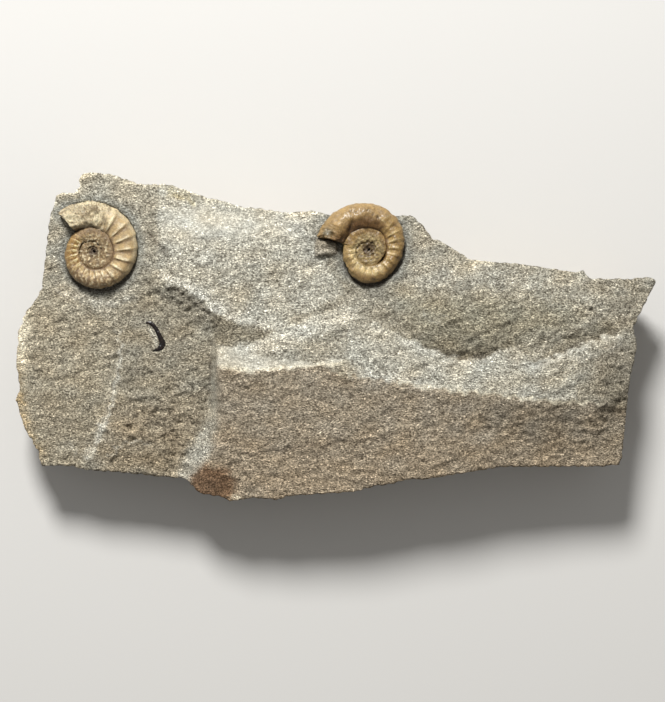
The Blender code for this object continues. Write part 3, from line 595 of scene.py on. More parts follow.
# %% Outlines of the parts
SCRAPED_REACH = 0.5
SCRAPED_FADE = 1.3
PARTS = {
    "hollow": (1.2, (
        (-54.5, 1.5), (-52.5, 9), (-46, 13), (-41, 11), (-34, 6), (-30, -1), (-30, -9.5),
        (-31, -18), (-33, -25), (-36.5, -32), (-45, -36), (-55, -35), (-56, -22.5), (-54.5, -13),
    )),
    # Painted shade on the slope below the plate's rim, which leans away from the lamp.
    "hollow_top_shade": (0.35, (
        (-46, 13.5), (-41, 13.7), (-37, 12), (-32.5, 9.3), (-28.6, 6), (-24, 3), (-20.5, 0.6),
        (-27, -1), (-31, 1), (-36, 5.5), (-42, 9.5), (-46, 11.5),
    )),
    "hollow_foot": (3.0, ((-56, -16), (-31, -16), (-34, -38), (-60, -38))),
    "lower": (0.22, (
        (-28.6, -6.8), (-24.5, -8), (-20, -8.5), (-8.5, -7.8), (-2.5, -7.5), (1, -9.5),
        (15.5, -11), (27.5, -13), (39.5, -14), (50, -15.5), (63.5, -16), (66.5, -16.5),
        (72, -18), (72, -34), (40, -34), (15.5, -38), (-8.5, -43), (-31.5, -43), (-35.5, -35),
        (-32, -28), (-28.5, -22), (-28.5, -13),
    )),
    "lower_foot": (4.0, ((-36, -25), (-8, -27), (20, -25), (74, -25), (74, -46), (-36, -46))),
    "lower_right": (4.0, ((36, -15), (72, -18), (72, -34), (40, -33))),
    "smooth": (1.6, (
        (-41.5, 31.5), (-33, 32), (-23, 30), (-16, 29), (-8.5, 27.5), (-11, 25.5),
        (-20.5, 24.5), (-30.5, 23.5), (-37.5, 23.5), (-41, 25.5),
    )),
    "plate": (0.3, (
        (-42.5, 38), (-18, 33), (3, 31), (-4, 22), (2, 10), (-9.5, 4.5), (-14.5, 1.3),
        (-19, -0.8), (-24, 3), (-29, 6), (-33, 9.5), (-37.5, 12), (-42.5, 14.2), (-43, 23),
    )),
    # Painted highlight along the plate's rim, which faces the lamp.
    "plate_rim_highlight": (0.45, (
        (-42, 15.8), (-38, 14.2), (-33, 11.8), (-28.5, 8.4), (-23.5, 5.6), (-17, 3.4),
        (-13, 3), (-14.5, 1.3), (-19, 0.4), (-24, 3), (-29, 6), (-33, 9.5), (-37.5, 12),
        (-42.5, 14.2),
    )),
    "plate_shade": (1.6, (
        (-34, 18), (-27, 17.5), (-20, 19), (-12, 17), (-7, 12), (-12, 9), (-17, 7), (-22, 6.5),
        (-26, 9), (-31, 13),
    )),
    # Painted shade in the corner below the plate's rim.
    "plate_corner_shade": (0.3, (
        (-29.5, 5.4), (-24, 3.4), (-20.3, 2.6), (-14.2, 1.1), (-19.3, -1.6), (-24, -2.4),
        (-28.4, -2), (-30, 1),
    )),
    "ledge": (0.2, (
        (-28.2, -2.1), (-23, -2.6), (-17.8, -4.8), (-8.5, -5.9), (2.5, -5.2), (1, -7),
        (-8.5, -7.6), (-20, -8.5), (-24.5, -8), (-28.3, -6.9),
    )),
    "band": (0.6, (
        (-27, -2), (-19.5, -1), (-11, 2.5), (-1.5, 6), (2.5, 7.5), (8, 4.5), (2.5, 3), (-5, 0.5),
        (-12, -2.8), (-17.5, -4.5), (-23, -2.8),
    )),
    "facet": (0.3, (
        (-20.5, -5.4), (-15, -2.2), (-10.5, 0), (-4.5, 1.4), (-0.8, -1.2), (4, -2.2), (6, -5.2),
        (1.5, -5.6), (-5, -6.5), (-12, -6.2),
    )),
    # Painted light on the slope below the scoop, which faces the lamp.
    "slope": (0.18, (
        (3, 3.5), (9.5, 3.4), (14.3, 1.1), (19.1, -1.2), (23.9, -3.6), (27.8, -5.1), (31.1, -5.5),
        (35.5, -4.9), (39.8, -3.7), (42.4, -2), (46.5, -5), (50, -8), (58, -11), (58, -15.5),
        (44, -14.5), (27.5, -13), (15.5, -11), (3, -9.5),
    )),
    "spur": (0.3, (
        (46, -8.8), (51.5, -5), (60, -2.6), (68.8, 0.6), (69, -2), (61, -5.6), (54, -8.4),
        (48, -10),
    )),
    "spur_shade": (0.25, (
        (48.5, -6), (52.7, -4.4), (57.5, -2.3), (62.3, -0.4), (68.4, 1.4), (65.5, 4.2), (60, 2.4),
        (55, -0.6), (51, -3.4),
    )),
    "scoop": (2.2, (
        (12, 12), (19, 2), (24, -3.5), (38, -4.5), (48, 0), (60, 4), (58, 9), (36, 10), (22, 9),
    )),
    # Painted shade on the scoop's lower wall, which leans away from the lamp.
    "scoop_low_shade": (0.18, (
        (11, 4), (14.3, 1.6), (19.1, -0.8), (23.9, -3.2), (27.8, -4.8), (31.1, -5.2),
        (35.5, -4.6), (39.8, -3.4), (42.2, -1.7), (44.5, 0.6), (44, 8), (11, 8),
    )),
    "right_end": (0.8, ((63, -4), (69, -1), (72, -10), (71, -31), (63.5, -31), (63, -16))),
    "left_end": (0.7, (
        (-84, -40), (-84, 20), (-66, 12), (-54.5, 3), (-54.5, -10), (-58, -24), (-62, -40),
    )),
    "step": (0.5, (
        (-30, -1.5), (-28, -2.5), (-28, -8), (-27.5, -16), (-27.5, -22), (-30, -28), (-32.5, -34),
        (-37, -36), (-35.5, -30), (-32.5, -23), (-31, -17), (-30.2, -9),
    )),
    "rust": (0.7, (
        (-35.5, -33.5), (-31.5, -31), (-25, -32.5), (-24, -36), (-27, -42), (-36, -42),
    )),
    "scar": (0.7, (
        (-38.5, -35.5), (-36.5, -28.5), (-33.5, -24), (-30.5, -22), (-30, -27), (-33, -32.5),
        (-35.5, -36),
    )),
    "sliver_bed": (0.25, (
        (-45.5, 2.4), (-44.6, 2.2), (-43.5, 0.8), (-42.8, -1.0), (-43.0, -2.2), (-43.9, -1.8),
        (-44.6, 0.2),
    )),
}
masks = {name: crumbled(patch(outline, feather)) for name, (feather, outline) in PARTS.items()}
near_shell = sum(fading(gap, SCRAPED_REACH, SCRAPED_FADE) for gap in shell_gaps.values())
masks["scraped"] = np.clip(near_shell, 0, 1)
# The painted shade on the scoop's wall fades out towards its top.
masks["scoop_low_shade"] *= 1 - ramp(map_y, -4, 4)
print("the hollow covers", round(masks["hollow"].sum() * CELL ** 2), "square mm")

# %% [markdown]
# ## The roughness of the rock
# Limestone that breaks unevenly has bumps at several scales: shallow swells, lumps of a few
# millimetres, and a sandy grain that lies along the bedding. Each scale is a layer of noise
# with its own height, and a table says where it is stronger or weaker. The finest grain is
# left to the material, because a mesh fine enough for it would be too heavy.

# %% Layers of roughness
ROUGHNESS = (
    {"wide": 16, "tall": 10, "turn": 12, "height": 0.13, "steps": 0, "lower": -0.4},
    {
        "wide": 8, "tall": 4.2, "turn": 20, "height": 0.10, "steps": 1.5,
        "hollow": 0.5, "lower": -0.8,
    },
    {
        "wide": 4.0, "tall": 2.4, "turn": 16, "height": 0.075, "steps": 0,
        "hollow": 0.5, "lower": -0.6,
    },
    {
        "wide": 2.2, "tall": 0.9, "turn": 10, "height": 0.035, "steps": 0,
        "hollow": 0.9, "lower": -0.1,
    },
)
CALM = {"smooth": -0.75, "ledge": -0.85, "band": -0.45, "scraped": -0.35, "step": -0.8}
TEARS = (6.0, 1.8, 8)
TEAR_DEPTH = 0.07
FURROWS = (11.0, 2.0, 27)
FURROW_DEPTH = 0.06


def roughness_layer(layer):
    """One layer of noise, smooth or in steps, stronger or weaker by the part of the face."""
    bumps = torn_grain(rng, layer["wide"], layer["tall"], layer["turn"])
    if layer["steps"]:
        bumps = terraces(bumps, layer["steps"])
    strength = 1.0
    for name, change in {**CALM, **layer}.items():
        if name in masks:
            strength = strength + change * masks[name]
    return layer["height"] * np.clip(strength, 0.1, 3) * bumps


roughness = sum(roughness_layer(layer) for layer in ROUGHNESS)
tears = torn_grain(rng, *TEARS)
roughness -= TEAR_DEPTH * masks["hollow"] * np.clip(tears - 0.9, 0, 2) * (1 - masks["step"])
furrows = torn_grain(rng, *FURROWS)
furrowed = FURROW_DEPTH * (masks["plate"] + 0.5 * masks["slope"])
roughness -= furrowed * np.clip(furrows - 0.3, 0, 2)
print("roughness is", round(float(roughness.std()), 2), "mm either way")

# %% Cracks, crevices and pits
CREVICES = (
    (0.30, 0.50, ((-48.5, -20), (-45, -20.5), (-41.5, -22), (-38.5, -25), (-36.5, -26.5))),
    (0.26, 0.40, ((-40.5, -18.5), (-39.5, -19.5), (-36, -20.5), (-32.5, -21))),
    (0.40, 0.5, ((-45, 24.5), (-43.5, 22.5), (-42.5, 21.5), (-39.5, 19))),
    (0.30, 0.5, ((60.2, 7.8), (61.6, 6.7), (63.8, 4.6))),
    (0.28, 0.4, ((69.4, 3.6), (70.8, 5), (72.7, 7.3))),
    (0.26, 0.3, ((69.8, 7.5), (71, 6.8), (72, 7.2))),
    (0.26, 0.4, ((-33, 17.5), (-32, 15.9))),
    (0.24, 0.3, ((-8.5, 12.3), (-6.3, 11.2))),
    (0.34, 0.3, ((-30.3, -5), (-30.2, -9), (-30.6, -13), (-31.7, -15.8))),
    (0.34, 0.3, ((-41.5, 12.4), (-37.6, 10.6), (-34, 8.6), (-30.5, 5))),
    (0.26, 0.3, ((52, -4.6), (57.5, -2.2), (62.3, -0.3), (66.5, 1.1))),
    (0.30, 0.3, ((21, -2), (24, -3.4), (27.8, -4.9), (31.1, -5.2), (35.5, -4.7), (39.8, -3.4))),
    (0.30, 0.4, ((-40.5, 1), (-38.5, -0.2), (-36.8, -1.2))),
    (0.30, 0.4, ((-35, -14.5), (-32.5, -14), (-31.2, -12.5))),
    (0.26, 0.35, ((-50, -8), (-46.5, -8.6), (-43, -8.2))),
    (0.26, 0.35, ((-41, -11), (-37.5, -12.4), (-34.5, -12.2))),
)
HAIRLINE = ((-23, -28.5), (-17.5, -28), (-8.5, -26.5), (1, -25.5), (12, -24.5))
HAIRLINE_WIDTH = 0.22
HAIRLINE_DEPTH = 0.15
PITS = ((-25.5, -31), (39, 13), (43.5, -6), (-18.5, 13.2), (12.5, 20), (-44, 5))
PIT_WIDTH = 0.42
PIT_DEPTH = 0.4
cracks = np.zeros(map_x.shape)
for width, depth, line in CREVICES:
    mark = crumbled(stroke(line, width))
    roughness -= depth * mark
    cracks = np.maximum(cracks, mark)
hairline = crumbled(stroke(HAIRLINE, HAIRLINE_WIDTH))
roughness -= HAIRLINE_DEPTH * hairline
for x, y in PITS:
    mark = fading(np.hypot(map_x - x, map_y - y), 0.0, PIT_WIDTH)
    roughness -= PIT_DEPTH * mark
    cracks = np.maximum(cracks, mark)
print(len(CREVICES), "crevices, one hairline and", len(PITS), "pits")

# %% [markdown]
# ## The beds of the fossils
# The shells were freed with a fine chisel, so a trench runs round each one, deepest below it
# in the picture. The rock dips steeply under the shell's side. At the left of the right shell
# the last part of the shell is gone, and the rock keeps its mould with two ribs.

# %% Sink the beds
TRENCH_DEPTH = 0.75
TRENCH_WIDTH = 0.7
WALL_FOOT = -0.28
WALL_TOP = 0.12
BED_DEPTH = 1.6


def sink_bed(ground, shell):
    """The ground with a shell's trench round it and its bed below it."""
    gap = shell_gaps[shell["name"]]
    low_side = np.clip((shell["centre"][1] - map_y) / shell["outer"][0][1], -1, 1)
    depth = TRENCH_DEPTH * (0.55 + 0.45 * low_side)
    trench = ground - depth * fading(gap, 0.0, TRENCH_WIDTH)
    floor = np.minimum(middle_plane(shell, map_x, map_y) - BED_DEPTH, trench - 0.3)
    return floor + (trench - floor) * ramp(gap, WALL_FOOT, WALL_TOP)


ground = face + roughness
for shell in SHELLS:
    ground = sink_bed(ground, shell)
print("deepest bed is at", round(float(ground[within(OUTLINE)].min()), 1), "mm")

# %% Mould of the lost end, and the sliver's bed
MOULD_SPAN = 22.0
MOULD_INNER = 7.4
MOULD_OUTER = 13.1
MOULD_GROWTH = 0.01
MOULD_HEIGHT = 0.9
MOULD_RIB_HEIGHT = 0.3
MOULD_RIB_PITCH = 11.0
SLIVER_LINE = (
    (-45.9, 3.2, 0.4), (-45.2, 3.35, 0.75), (-44.4, 3.0, 0.95), (-43.6, 2.1, 1.05),
    (-42.9, 0.8, 1.1), (-42.3, -0.5, 1.3), (-41.9, -1.6, 1.55), (-42.1, -2.4, 1.5),
    (-42.8, -3.0, 1.0), (-43.6, -3.3, 0.6), (-44.3, -3.55, 0.2),
)
SLIVER_TOP = 16.8


def mould_of_lost_end(ground, shell):
    """The rock's cast of the lost end of the last whorl, with two ribs across it."""
    x = map_x - shell["centre"][0]
    y = map_y - shell["centre"][1]
    radius = np.hypot(x, y)
    past = np.degrees(np.arctan2(y, x)) % 360 + 360 - end_angle(shell)
    outer = MOULD_OUTER + MOULD_GROWTH * past
    inner = MOULD_INNER
    across = np.clip((radius - inner) / (outer - inner), 0, 1)
    ribs = MOULD_RIB_HEIGHT * np.cos(2 * math.pi * (past - 6) / MOULD_RIB_PITCH)
    cast = np.sin(math.pi * across) ** 0.6 * (MOULD_HEIGHT + ribs)
    cast = middle_plane(shell, map_x, map_y) + cast
    region = ramp(past, -2, 1) * (1 - ramp(past, MOULD_SPAN - 3, MOULD_SPAN))
    region = region * ramp(radius, inner, inner + 0.6) * (1 - ramp(radius, outer - 0.5, outer))
    return ground + region * (cast - ground), region


ground, mould = mould_of_lost_end(ground, RIGHT_SHELL)
near_sliver = fading(gap_to(seen_from_above(SLIVER_LINE)), 0.4, 1.6)
ground = ground + near_sliver * (SLIVER_TOP - ground) * 0.9
print("the mould covers", round(mould.sum() * CELL ** 2, 1), "square mm")

# %% [markdown]
# ## The mesh of the slab
# The face is one sheet of small, even triangles. Delaunay triangulation makes it from a
# staggered grid of points, the outline, and the rims of the beds, which it keeps as edges.
# The sides hang from the outline in rings that run in to the edge of the back. The back is
# the bedding plane that the slab split along, so it is nearly flat.

# %% Points of the face
FACE_STEP = 0.39
RIM_STEP = 0.6
LOOP_STEP = 0.4
RIM_WANDER = 0.09
RIM_BUMPS = (2.6, 4.0)
PUSH_LIMITS = (-1.2, 2.5)
RIM_CLEAR = 0.3
LOOP_CLEAR = 0.16
JITTER = 0.18


def closed_line(points):
    """A line of points that comes back to its first one."""
    return np.vstack([points, points[:1]])


def distances(points):
    """Distance along a line at each of its points."""
    return np.concatenate([[0], np.cumsum(np.hypot(*np.diff(points, axis=0).T))])


def even_points(line, step):
    """Points at an even step along a closed line."""
    points = closed_line(np.array(seen_from_above(line), float))
    along = distances(points)
    count = max(2, int(round(along[-1] / step)))
    at = np.linspace(0, along[-1], count + 1)[:-1]
    return np.stack([np.interp(at, along, points[:, n]) for n in (0, 1)], axis=1)


def wander(points, amount, rng):
    """Push the points of a closed line to and fro, across it, in an uneven rhythm."""
    push = grain(rng, *RIM_BUMPS, shape=(2, len(points)), cells=(CELL, RIM_STEP))[0]
    push = np.clip(push, *PUSH_LIMITS)
    run = np.roll(points, -1, axis=0) - np.roll(points, 1, axis=0)
    normal = np.stack([run[:, 1], -run[:, 0]], axis=1)
    normal /= np.hypot(*normal.T)[:, None]
    return points + normal * (push / push.std() * amount)[:, None]


def staggered(outline, step, clear, rng):
    """Loose points in even rows inside an outline, a little jittered."""
    low = outline.min(axis=0)
    high = outline.max(axis=0)
    x, y = np.meshgrid(
        np.arange(low[0], high[0], step), np.arange(low[1], high[1], step * math.sqrt(3) / 2)
    )
    x = x + (np.arange(x.shape[0]) % 2)[:, None] * step / 2
    x = x + rng.uniform(-JITTER, JITTER, x.shape) * step
    y = y + rng.uniform(-JITTER, JITTER, y.shape) * step
    edge = outline.tolist()
    keep = within(edge, x, y) & (gap_to(edge, x, y, closed=True) > clear)
    return np.stack([x[keep], y[keep]], axis=1)


rim_line = wander(even_points(OUTLINE, RIM_STEP), RIM_WANDER, rng)
fossil_loops = []
for shell in SHELLS:
    for grow in (WALL_FOOT, WALL_TOP):
        loop = even_points(shell_outline(shell, grow), LOOP_STEP)
        inside = within(rim_line.tolist(), loop[:, 0], loop[:, 1])
        if inside.all():
            fossil_loops.append(loop)
loose = staggered(rim_line, FACE_STEP, RIM_CLEAR, rng)
for loop in fossil_loops:
    loose = loose[gap_to(loop.tolist(), loose[:, 0], loose[:, 1], closed=True) > LOOP_CLEAR]
print(len(rim_line), "points on the rim and", len(loose), "loose points")

# %% Triangles of the face


def triangulate(loops, loose):
    """Triangles between closed loops and loose points, kept inside the first loop."""
    edges = []
    start = 0
    for loop in loops:
        numbers = list(range(start, start + len(loop)))
        edges += list(zip(numbers, numbers[1:] + numbers[:1]))
        start += len(loop)
    spots = np.concatenate(list(loops) + [loose])
    flat = [Vector(spot) for spot in spots.tolist()]
    points, _, faces, _, _, _ = delaunay_2d_cdt(flat, edges, [], 0, 1e-5)
    points = np.array([(point.x, point.y) for point in points])
    faces = np.array(faces)
    middle = points[faces].mean(axis=1)
    return points, faces[within(loops[0].tolist(), middle[:, 0], middle[:, 1])]


def rim_of(faces):
    """The open edge of a sheet of triangles, clockwise as seen from above."""
    sides = np.concatenate([faces[:, [0, 1]], faces[:, [1, 2]], faces[:, [2, 0]]])
    known = set(map(tuple, sides.tolist()))
    before = {end: start for start, end in known if (end, start) not in known}
    loop = [min(before)]
    while before[loop[-1]] != loop[0]:
        loop.append(before[loop[-1]])
    return np.array(loop)


face_xy, face_triangles = triangulate([rim_line] + fossil_loops, loose)
face_points = np.column_stack([face_xy, read_map(ground, face_xy[:, 0], face_xy[:, 1])])
rim = rim_of(face_triangles)
print(len(face_triangles), "triangles on the face,", len(rim), "points round it")

# %% Where the sides run down to
BACK_EDGE_STEP = 0.2


def stops_on(loop, along, edges):
    """Distance along a closed line at the first corner of each of the four edges."""
    near = [np.argmin(np.hypot(*(loop - np.array(edge[0][:2])).T)) for edge in edges]
    return np.array([along[number] for number in near])


def partners_on_back(rim_xy):
    """The spot on the edge of the back that each rim point's side runs down to."""
    back = even_points([point for edge in BACK_EDGES for point in edge], BACK_EDGE_STEP)
    along = distances(closed_line(rim_xy))
    back_along = distances(closed_line(back))
    stops = stops_on(rim_xy, along, FRONT_EDGES)
    back_stops = stops_on(back, back_along, BACK_EDGES)
    front_at = np.append((stops - stops[0]) % along[-1], along[-1])
    back_at = np.append((back_stops - back_stops[0]) % back_along[-1], back_along[-1])
    place = (along[:-1] - stops[0]) % along[-1]
    target = (np.interp(place, front_at, back_at) + back_stops[0]) % back_along[-1]
    wrapped = closed_line(back)
    return np.stack([np.interp(target, back_along, wrapped[:, n]) for n in (0, 1)], axis=1)


partners = partners_on_back(face_xy[rim])
run_in = np.hypot(*(partners - face_xy[rim]).T)
print("the sides run in by", round(float(run_in.mean()), 1), "mm on average")

# %% Sides and back
SIDE_RINGS = 22
SIDE_SLOPE = ((0.0, 0.0), (0.30, 0.12), (0.66, 0.42), (0.90, 0.74), (1.0, 1.0))
SIDE_LEDGES = 0.42
SIDE_GRAIN = 0.13
SIDE_ROW_HEIGHT = 0.8
LEDGE_BUMPS = (16.0, 5.0, 6)
LUMP_BUMPS = (6.0, 3.0, 10)
SAND_BUMPS = (2.4, 2.0, 0)
LEDGE_SHARPNESS = 2.2
BACK_STEP = 1.6
BACK_CLEAR = 0.8
BACK_ROUGHNESS = 0.10


def side_rings(rim_points, partners, rng):
    """Rings of points from under the rim down to the back, with broken ledges."""
    count = len(rim_points)
    shape = (2 * SIDE_RINGS, count)
    cells = (SIDE_ROW_HEIGHT, RIM_STEP)
    ledges = np.tanh(LEDGE_SHARPNESS * grain(rng, *LEDGE_BUMPS, shape, cells))
    lumps, sand = (grain(rng, *bumps, shape, cells) for bumps in (LUMP_BUMPS, SAND_BUMPS))
    drops, insets = zip(*SIDE_SLOPE)
    inward = partners - rim_points[:, :2]
    inward /= np.hypot(*inward.T)[:, None]
    rings = []
    for ring in range(1, SIDE_RINGS + 1):
        drop = (ring / SIDE_RINGS) ** 0.92
        share = np.interp(drop, drops, insets)
        fade = min(1.0, 5 * drop, 6 * (1 - drop))
        dent = SIDE_LEDGES * (ledges[ring] + 1) + SIDE_GRAIN * (1.5 * lumps[ring] + sand[ring])
        step = (partners - rim_points[:, :2]) * share + inward * (fade * dent)[:, None]
        z = rim_points[:, 2] * (1 - drop) + 0.2 * fade * lumps[-ring]
        rings.append(np.column_stack([rim_points[:, :2] + step, np.maximum(z, 0.0)]))
    return rings


rings = side_rings(face_points[rim], partners, rng)
back_loop = rings[-1][:, :2]
back_loose = staggered(back_loop, BACK_STEP, BACK_CLEAR, rng)
back_xy, back_triangles = triangulate([back_loop], back_loose)
edge_gap = gap_to(back_loop.tolist(), back_xy[:, 0], back_xy[:, 1], closed=True)
bedding = read_map(grain(rng, 9, 6) + 0.4 * grain(rng, 3, 2), back_xy[:, 0], back_xy[:, 1])
back_z = BACK_ROUGHNESS * np.maximum(bedding, 0) * np.clip(edge_gap, 0, 1)
print(len(rings), "rings on the sides and", len(back_triangles), "triangles on the back")

# %% Join face, sides and back in one closed mesh


def ring_triangles(upper, lower):
    """Two triangles for each step between two clockwise rings of point numbers."""
    next_upper = np.roll(upper, -1)
    next_lower = np.roll(lower, -1)
    first = np.stack([upper, next_lower, lower], axis=1)
    second = np.stack([upper, next_upper, next_lower], axis=1)
    return np.concatenate([first, second])


def match_rim(points, loop):
    """Numbers of the points that lie on a loop, in the loop's order."""
    return np.array([np.argmin(np.hypot(*(points - point).T)) for point in loop])


def slab_arrays():
    """All points of the slab, and its triangles."""
    points = [face_points]
    triangles = [face_triangles]
    upper = rim
    total = len(face_points)
    for ring in rings[:-1]:
        lower = np.arange(total, total + len(ring))
        points.append(ring)
        triangles.append(ring_triangles(upper, lower))
        total += len(ring)
        upper = lower
    points.append(np.column_stack([back_xy, back_z]))
    triangles.append(ring_triangles(upper, total + match_rim(back_xy, back_loop)))
    triangles.append(back_triangles[:, ::-1] + total)
    return np.concatenate(points), np.concatenate(triangles)


def make_mesh(name, points, triangles):
    """A smooth-shaded mesh from points in millimetres and triangles."""
    mesh = bpy.data.meshes.new(name)
    mesh.from_pydata((points * MM).tolist(), [], triangles.tolist())
    mesh.shade_smooth()
    mesh.validate()
    return mesh


slab_points, slab_triangles = slab_arrays()
slab_mesh = make_mesh("slab_surface", slab_points, slab_triangles)
print("slab has", len(slab_mesh.polygons), "triangles")

# %% [markdown]
# ## The colours of the rock
# Fresh limestone is grey. Weather has browned the lower face and the left end, a fresh break
# is nearly white, and the scraped trenches look bluish. Rims and crests that face the lamp get
# painted highlights, and faces turned away from it and a ring below each shell get painted
# shade. These are large soft areas, so they are painted point by point with masks on the map.
# The speckle of sand and mica is far finer than the mesh, so the material adds it.

# %% Colours, as they look on a screen


def srgb(red, green, blue):
    """A colour as seen on a screen, turned into light."""
    seen = np.array([red, green, blue]) / 255
    return np.where(seen <= 0.04045, seen / 12.92, ((seen + 0.055) / 1.055) ** 2.4)


GREY_BUFF = srgb(160, 154, 138)
WARM_BUFF = srgb(161, 149, 130)
BROWN_BUFF = srgb(170, 153, 129)
DUSKY_BUFF = srgb(136, 126, 109)
PALE_GREY = srgb(184, 181, 168)
NEARLY_WHITE = srgb(207, 204, 191)
HOLLOW_GREY = srgb(152, 145, 128)
HOLLOW_BROWN = srgb(155, 141, 118)
OLIVE_GREY = srgb(153, 147, 127)
BLUE_GREY = srgb(144, 146, 139)
LEFT_BUFF = srgb(161, 152, 132)
DARK_GREY = srgb(126, 119, 102)
SHADY_GREY = srgb(130, 128, 118)
SMOKY_BUFF = srgb(150, 142, 126)
GOLD_STAIN = srgb(196, 168, 120)
CREAM = srgb(240, 231, 206)
RUST = srgb(112, 84, 60)
DEEP_SHADE = srgb(70, 60, 50)
YELLOW_STAIN = srgb(196, 182, 140)
print("grey-buff reflects", np.round(GREY_BUFF, 2))

# %% Where each colour lies
PAINT = (
    (WARM_BUFF, "lower", 0.95), (DUSKY_BUFF, "lower_right", 0.75), (BROWN_BUFF, "lower_foot", 0.7),
    # The scoop's lower wall gets painted shade, and the slope further down gets painted light.
    (OLIVE_GREY, "scoop", 0.8), (DARK_GREY, "scoop_low_shade", 0.8), (HOLLOW_GREY, "hollow", 0.9),
    (HOLLOW_BROWN, "hollow_foot", 0.7), (LEFT_BUFF, "left_end", 0.85), (PALE_GREY, "plate", 0.8),
    # Among these, the plate's rim gets painted highlight, and the slope below it and the corner
    # beneath it get painted shade.
    (HOLLOW_GREY, "plate_shade", 0.4), (NEARLY_WHITE, "plate_rim_highlight", 0.6),
    (NEARLY_WHITE, "smooth", 0.55), (DARK_GREY, "hollow_top_shade", 0.15), (PALE_GREY, "slope", 0.75),
    (PALE_GREY, "spur", 0.8), (DARK_GREY, "spur_shade", 0.8), (NEARLY_WHITE, "band", 0.6),
    (DARK_GREY, "plate_corner_shade", 0.8), (NEARLY_WHITE, "ledge", 0.45), (PALE_GREY, "facet", 0.35),
    (BLUE_GREY, "scraped", 0.75), (DUSKY_BUFF, "right_end", 0.4),
    (PALE_GREY, "step", 0.25), (PALE_GREY, "scar", 0.75), (RUST, "rust", 0.85),
    (PALE_GREY, "sliver_bed", 0.9),
)
# Crest lines. Painted highlights run along them, and the material's grain is smoother on them.
SPUR_EDGE = ((47.4, -7.3), (52.7, -5.4), (57.5, -3.3), (62.3, -1.4), (68.6, 0.5))
LEDGE_EDGE = ((-27.5, -7), (-24, -8), (-19, -8.2), (-12, -7.4), (-4, -6.9), (2.5, -6.6))
EAST_CREST = seen_from_above(BREAKS["crest_east"][1:-1])
STREAKS = (
    (GOLD_STAIN, 2.2, 0.6, (
        (-77, 4), (-78, -3), (-78.5, -10), (-77.5, -17), (-76, -23), (-73.5, -28),
    )),
    (CREAM, 1.5, 0.95, ((-75.5, 5), (-76.6, 0), (-76.9, -6))),
    (DARK_GREY, 3.0, 0.8, ((66.5, -9), (68, -15))),
    (DUSKY_BUFF, 5.0, 0.35, ((-70, -19), (-62, -27))),
    (GREY_BUFF, 4.0, 0.5, ((52, -9), (63, -10))),
    (PALE_GREY, 4.0, 0.6, ((22, 14.5), (34, 14.5), (48, 12), (60, 10))),
    (NEARLY_WHITE, 3.2, 0.8, ((-12, 28.5), (-5, 26.5), (1, 24.5))),
    # Painted highlight along the ledge's lower crest.
    (CREAM, 0.34, 0.9, LEDGE_EDGE),
    (NEARLY_WHITE, 0.8, 0.5, ((-67, 11.0), (-61, 9.0), (-54.5, 7.6), (-48.5, 9.6))),
    # Painted highlights along the top rim, where it rounds over towards the lamp.
    (CREAM, 0.7, 0.8, seen_from_above(TOP_EDGE[:18])),
    (CREAM, 0.9, 0.9, seen_from_above(TOP_EDGE[24:26])),
    (PALE_GREY, 3.0, 0.5, seen_from_above(TOP_EDGE[10:18])),
    # Painted light on the narrow band of the west crease that faces the lamp.
    (NEARLY_WHITE, 0.45, 0.9, seen_from_above(BREAKS["west_crease_high"])),
    (NEARLY_WHITE, 0.9, 0.7, ((-55.5, -20), (-58, -24.5), (-60.5, -29))),
    # Painted highlights along the crests of the spur and of the lower face.
    (NEARLY_WHITE, 0.5, 1.0, SPUR_EDGE),
    (CREAM, 0.32, 1.0, EAST_CREST),
    (NEARLY_WHITE, 0.9, 0.8, ((3, -8), (9, -9.2), (15, -10), (24, -11.6))),
    # Painted highlight along the plate's rim.
    (NEARLY_WHITE, 0.45, 0.9, ((-42.5, 14.9), (-37.5, 12.8), (-33, 10.3), (-29, 6.8), (-24, 3.9))),
    # Painted light just below the foot of the scoop.
    (NEARLY_WHITE, 0.6, 0.7, ((16, -0.8), (21, -3.2), (27.8, -5.9), (33, -6.2), (39, -4.8))),
    (YELLOW_STAIN, 1.0, 0.6, ((-40, 34.8), (-37.5, 34.4), (-34.5, 32.8))),
    (CREAM, 0.5, 0.9, ((-25, -38.8), (-23, -39.4))),
    (NEARLY_WHITE, 0.16, 0.8, ((-55, -29), (-51, -25.5), (-48.5, -25.5), (-45, -26))),
    (NEARLY_WHITE, 0.16, 0.6, ((-64.5, -25.5), (-63.5, -29))),
    (NEARLY_WHITE, 0.18, 0.5, ((20.5, 6.5), (22.5, 3.5), (27, 4.5))),
    (NEARLY_WHITE, 0.5, 0.5, ((-36.5, -33.5), (-34, -32.5))),
)
print(len(PAINT), "parts and", len(STREAKS), "streaks have a colour of their own")

# %% Paint the map of the rock
SHADE_REACH = 3.5
# Place and width of the painted shadow in the trench round each shell.
SHADOW_PLACE = 0.35
SHADOW_WIDTH = 0.5


def layer(paint, colour, mask, amount=1.0):
    """Lay a colour over others where a mask is strong."""
    cover = np.clip(mask * amount, 0, 1)[..., None]
    return paint * (1 - cover) + colour * cover


paint = np.ones(map_x.shape + (3,)) * GREY_BUFF
for colour, name, amount in PAINT:
    paint = layer(paint, colour, masks[name], amount)
patchy = ramp(grain(rng, 3.4, 2.2, 15), -0.9, 1.1)
for colour, width, amount, line in STREAKS:
    paint = layer(paint, colour, crumbled(stroke(line, width)), amount * (0.5 + 0.5 * patchy))
paint = layer(paint, DEEP_SHADE, cracks, 0.55)
paint = layer(paint, DEEP_SHADE, hairline, 0.8)
shade = np.exp(-(shell_gaps["ammonite_right"] / SHADE_REACH) ** 2)
paint = layer(paint, SHADY_GREY, shade, 0.6)
paint = layer(paint, SMOKY_BUFF, mould, 0.9)
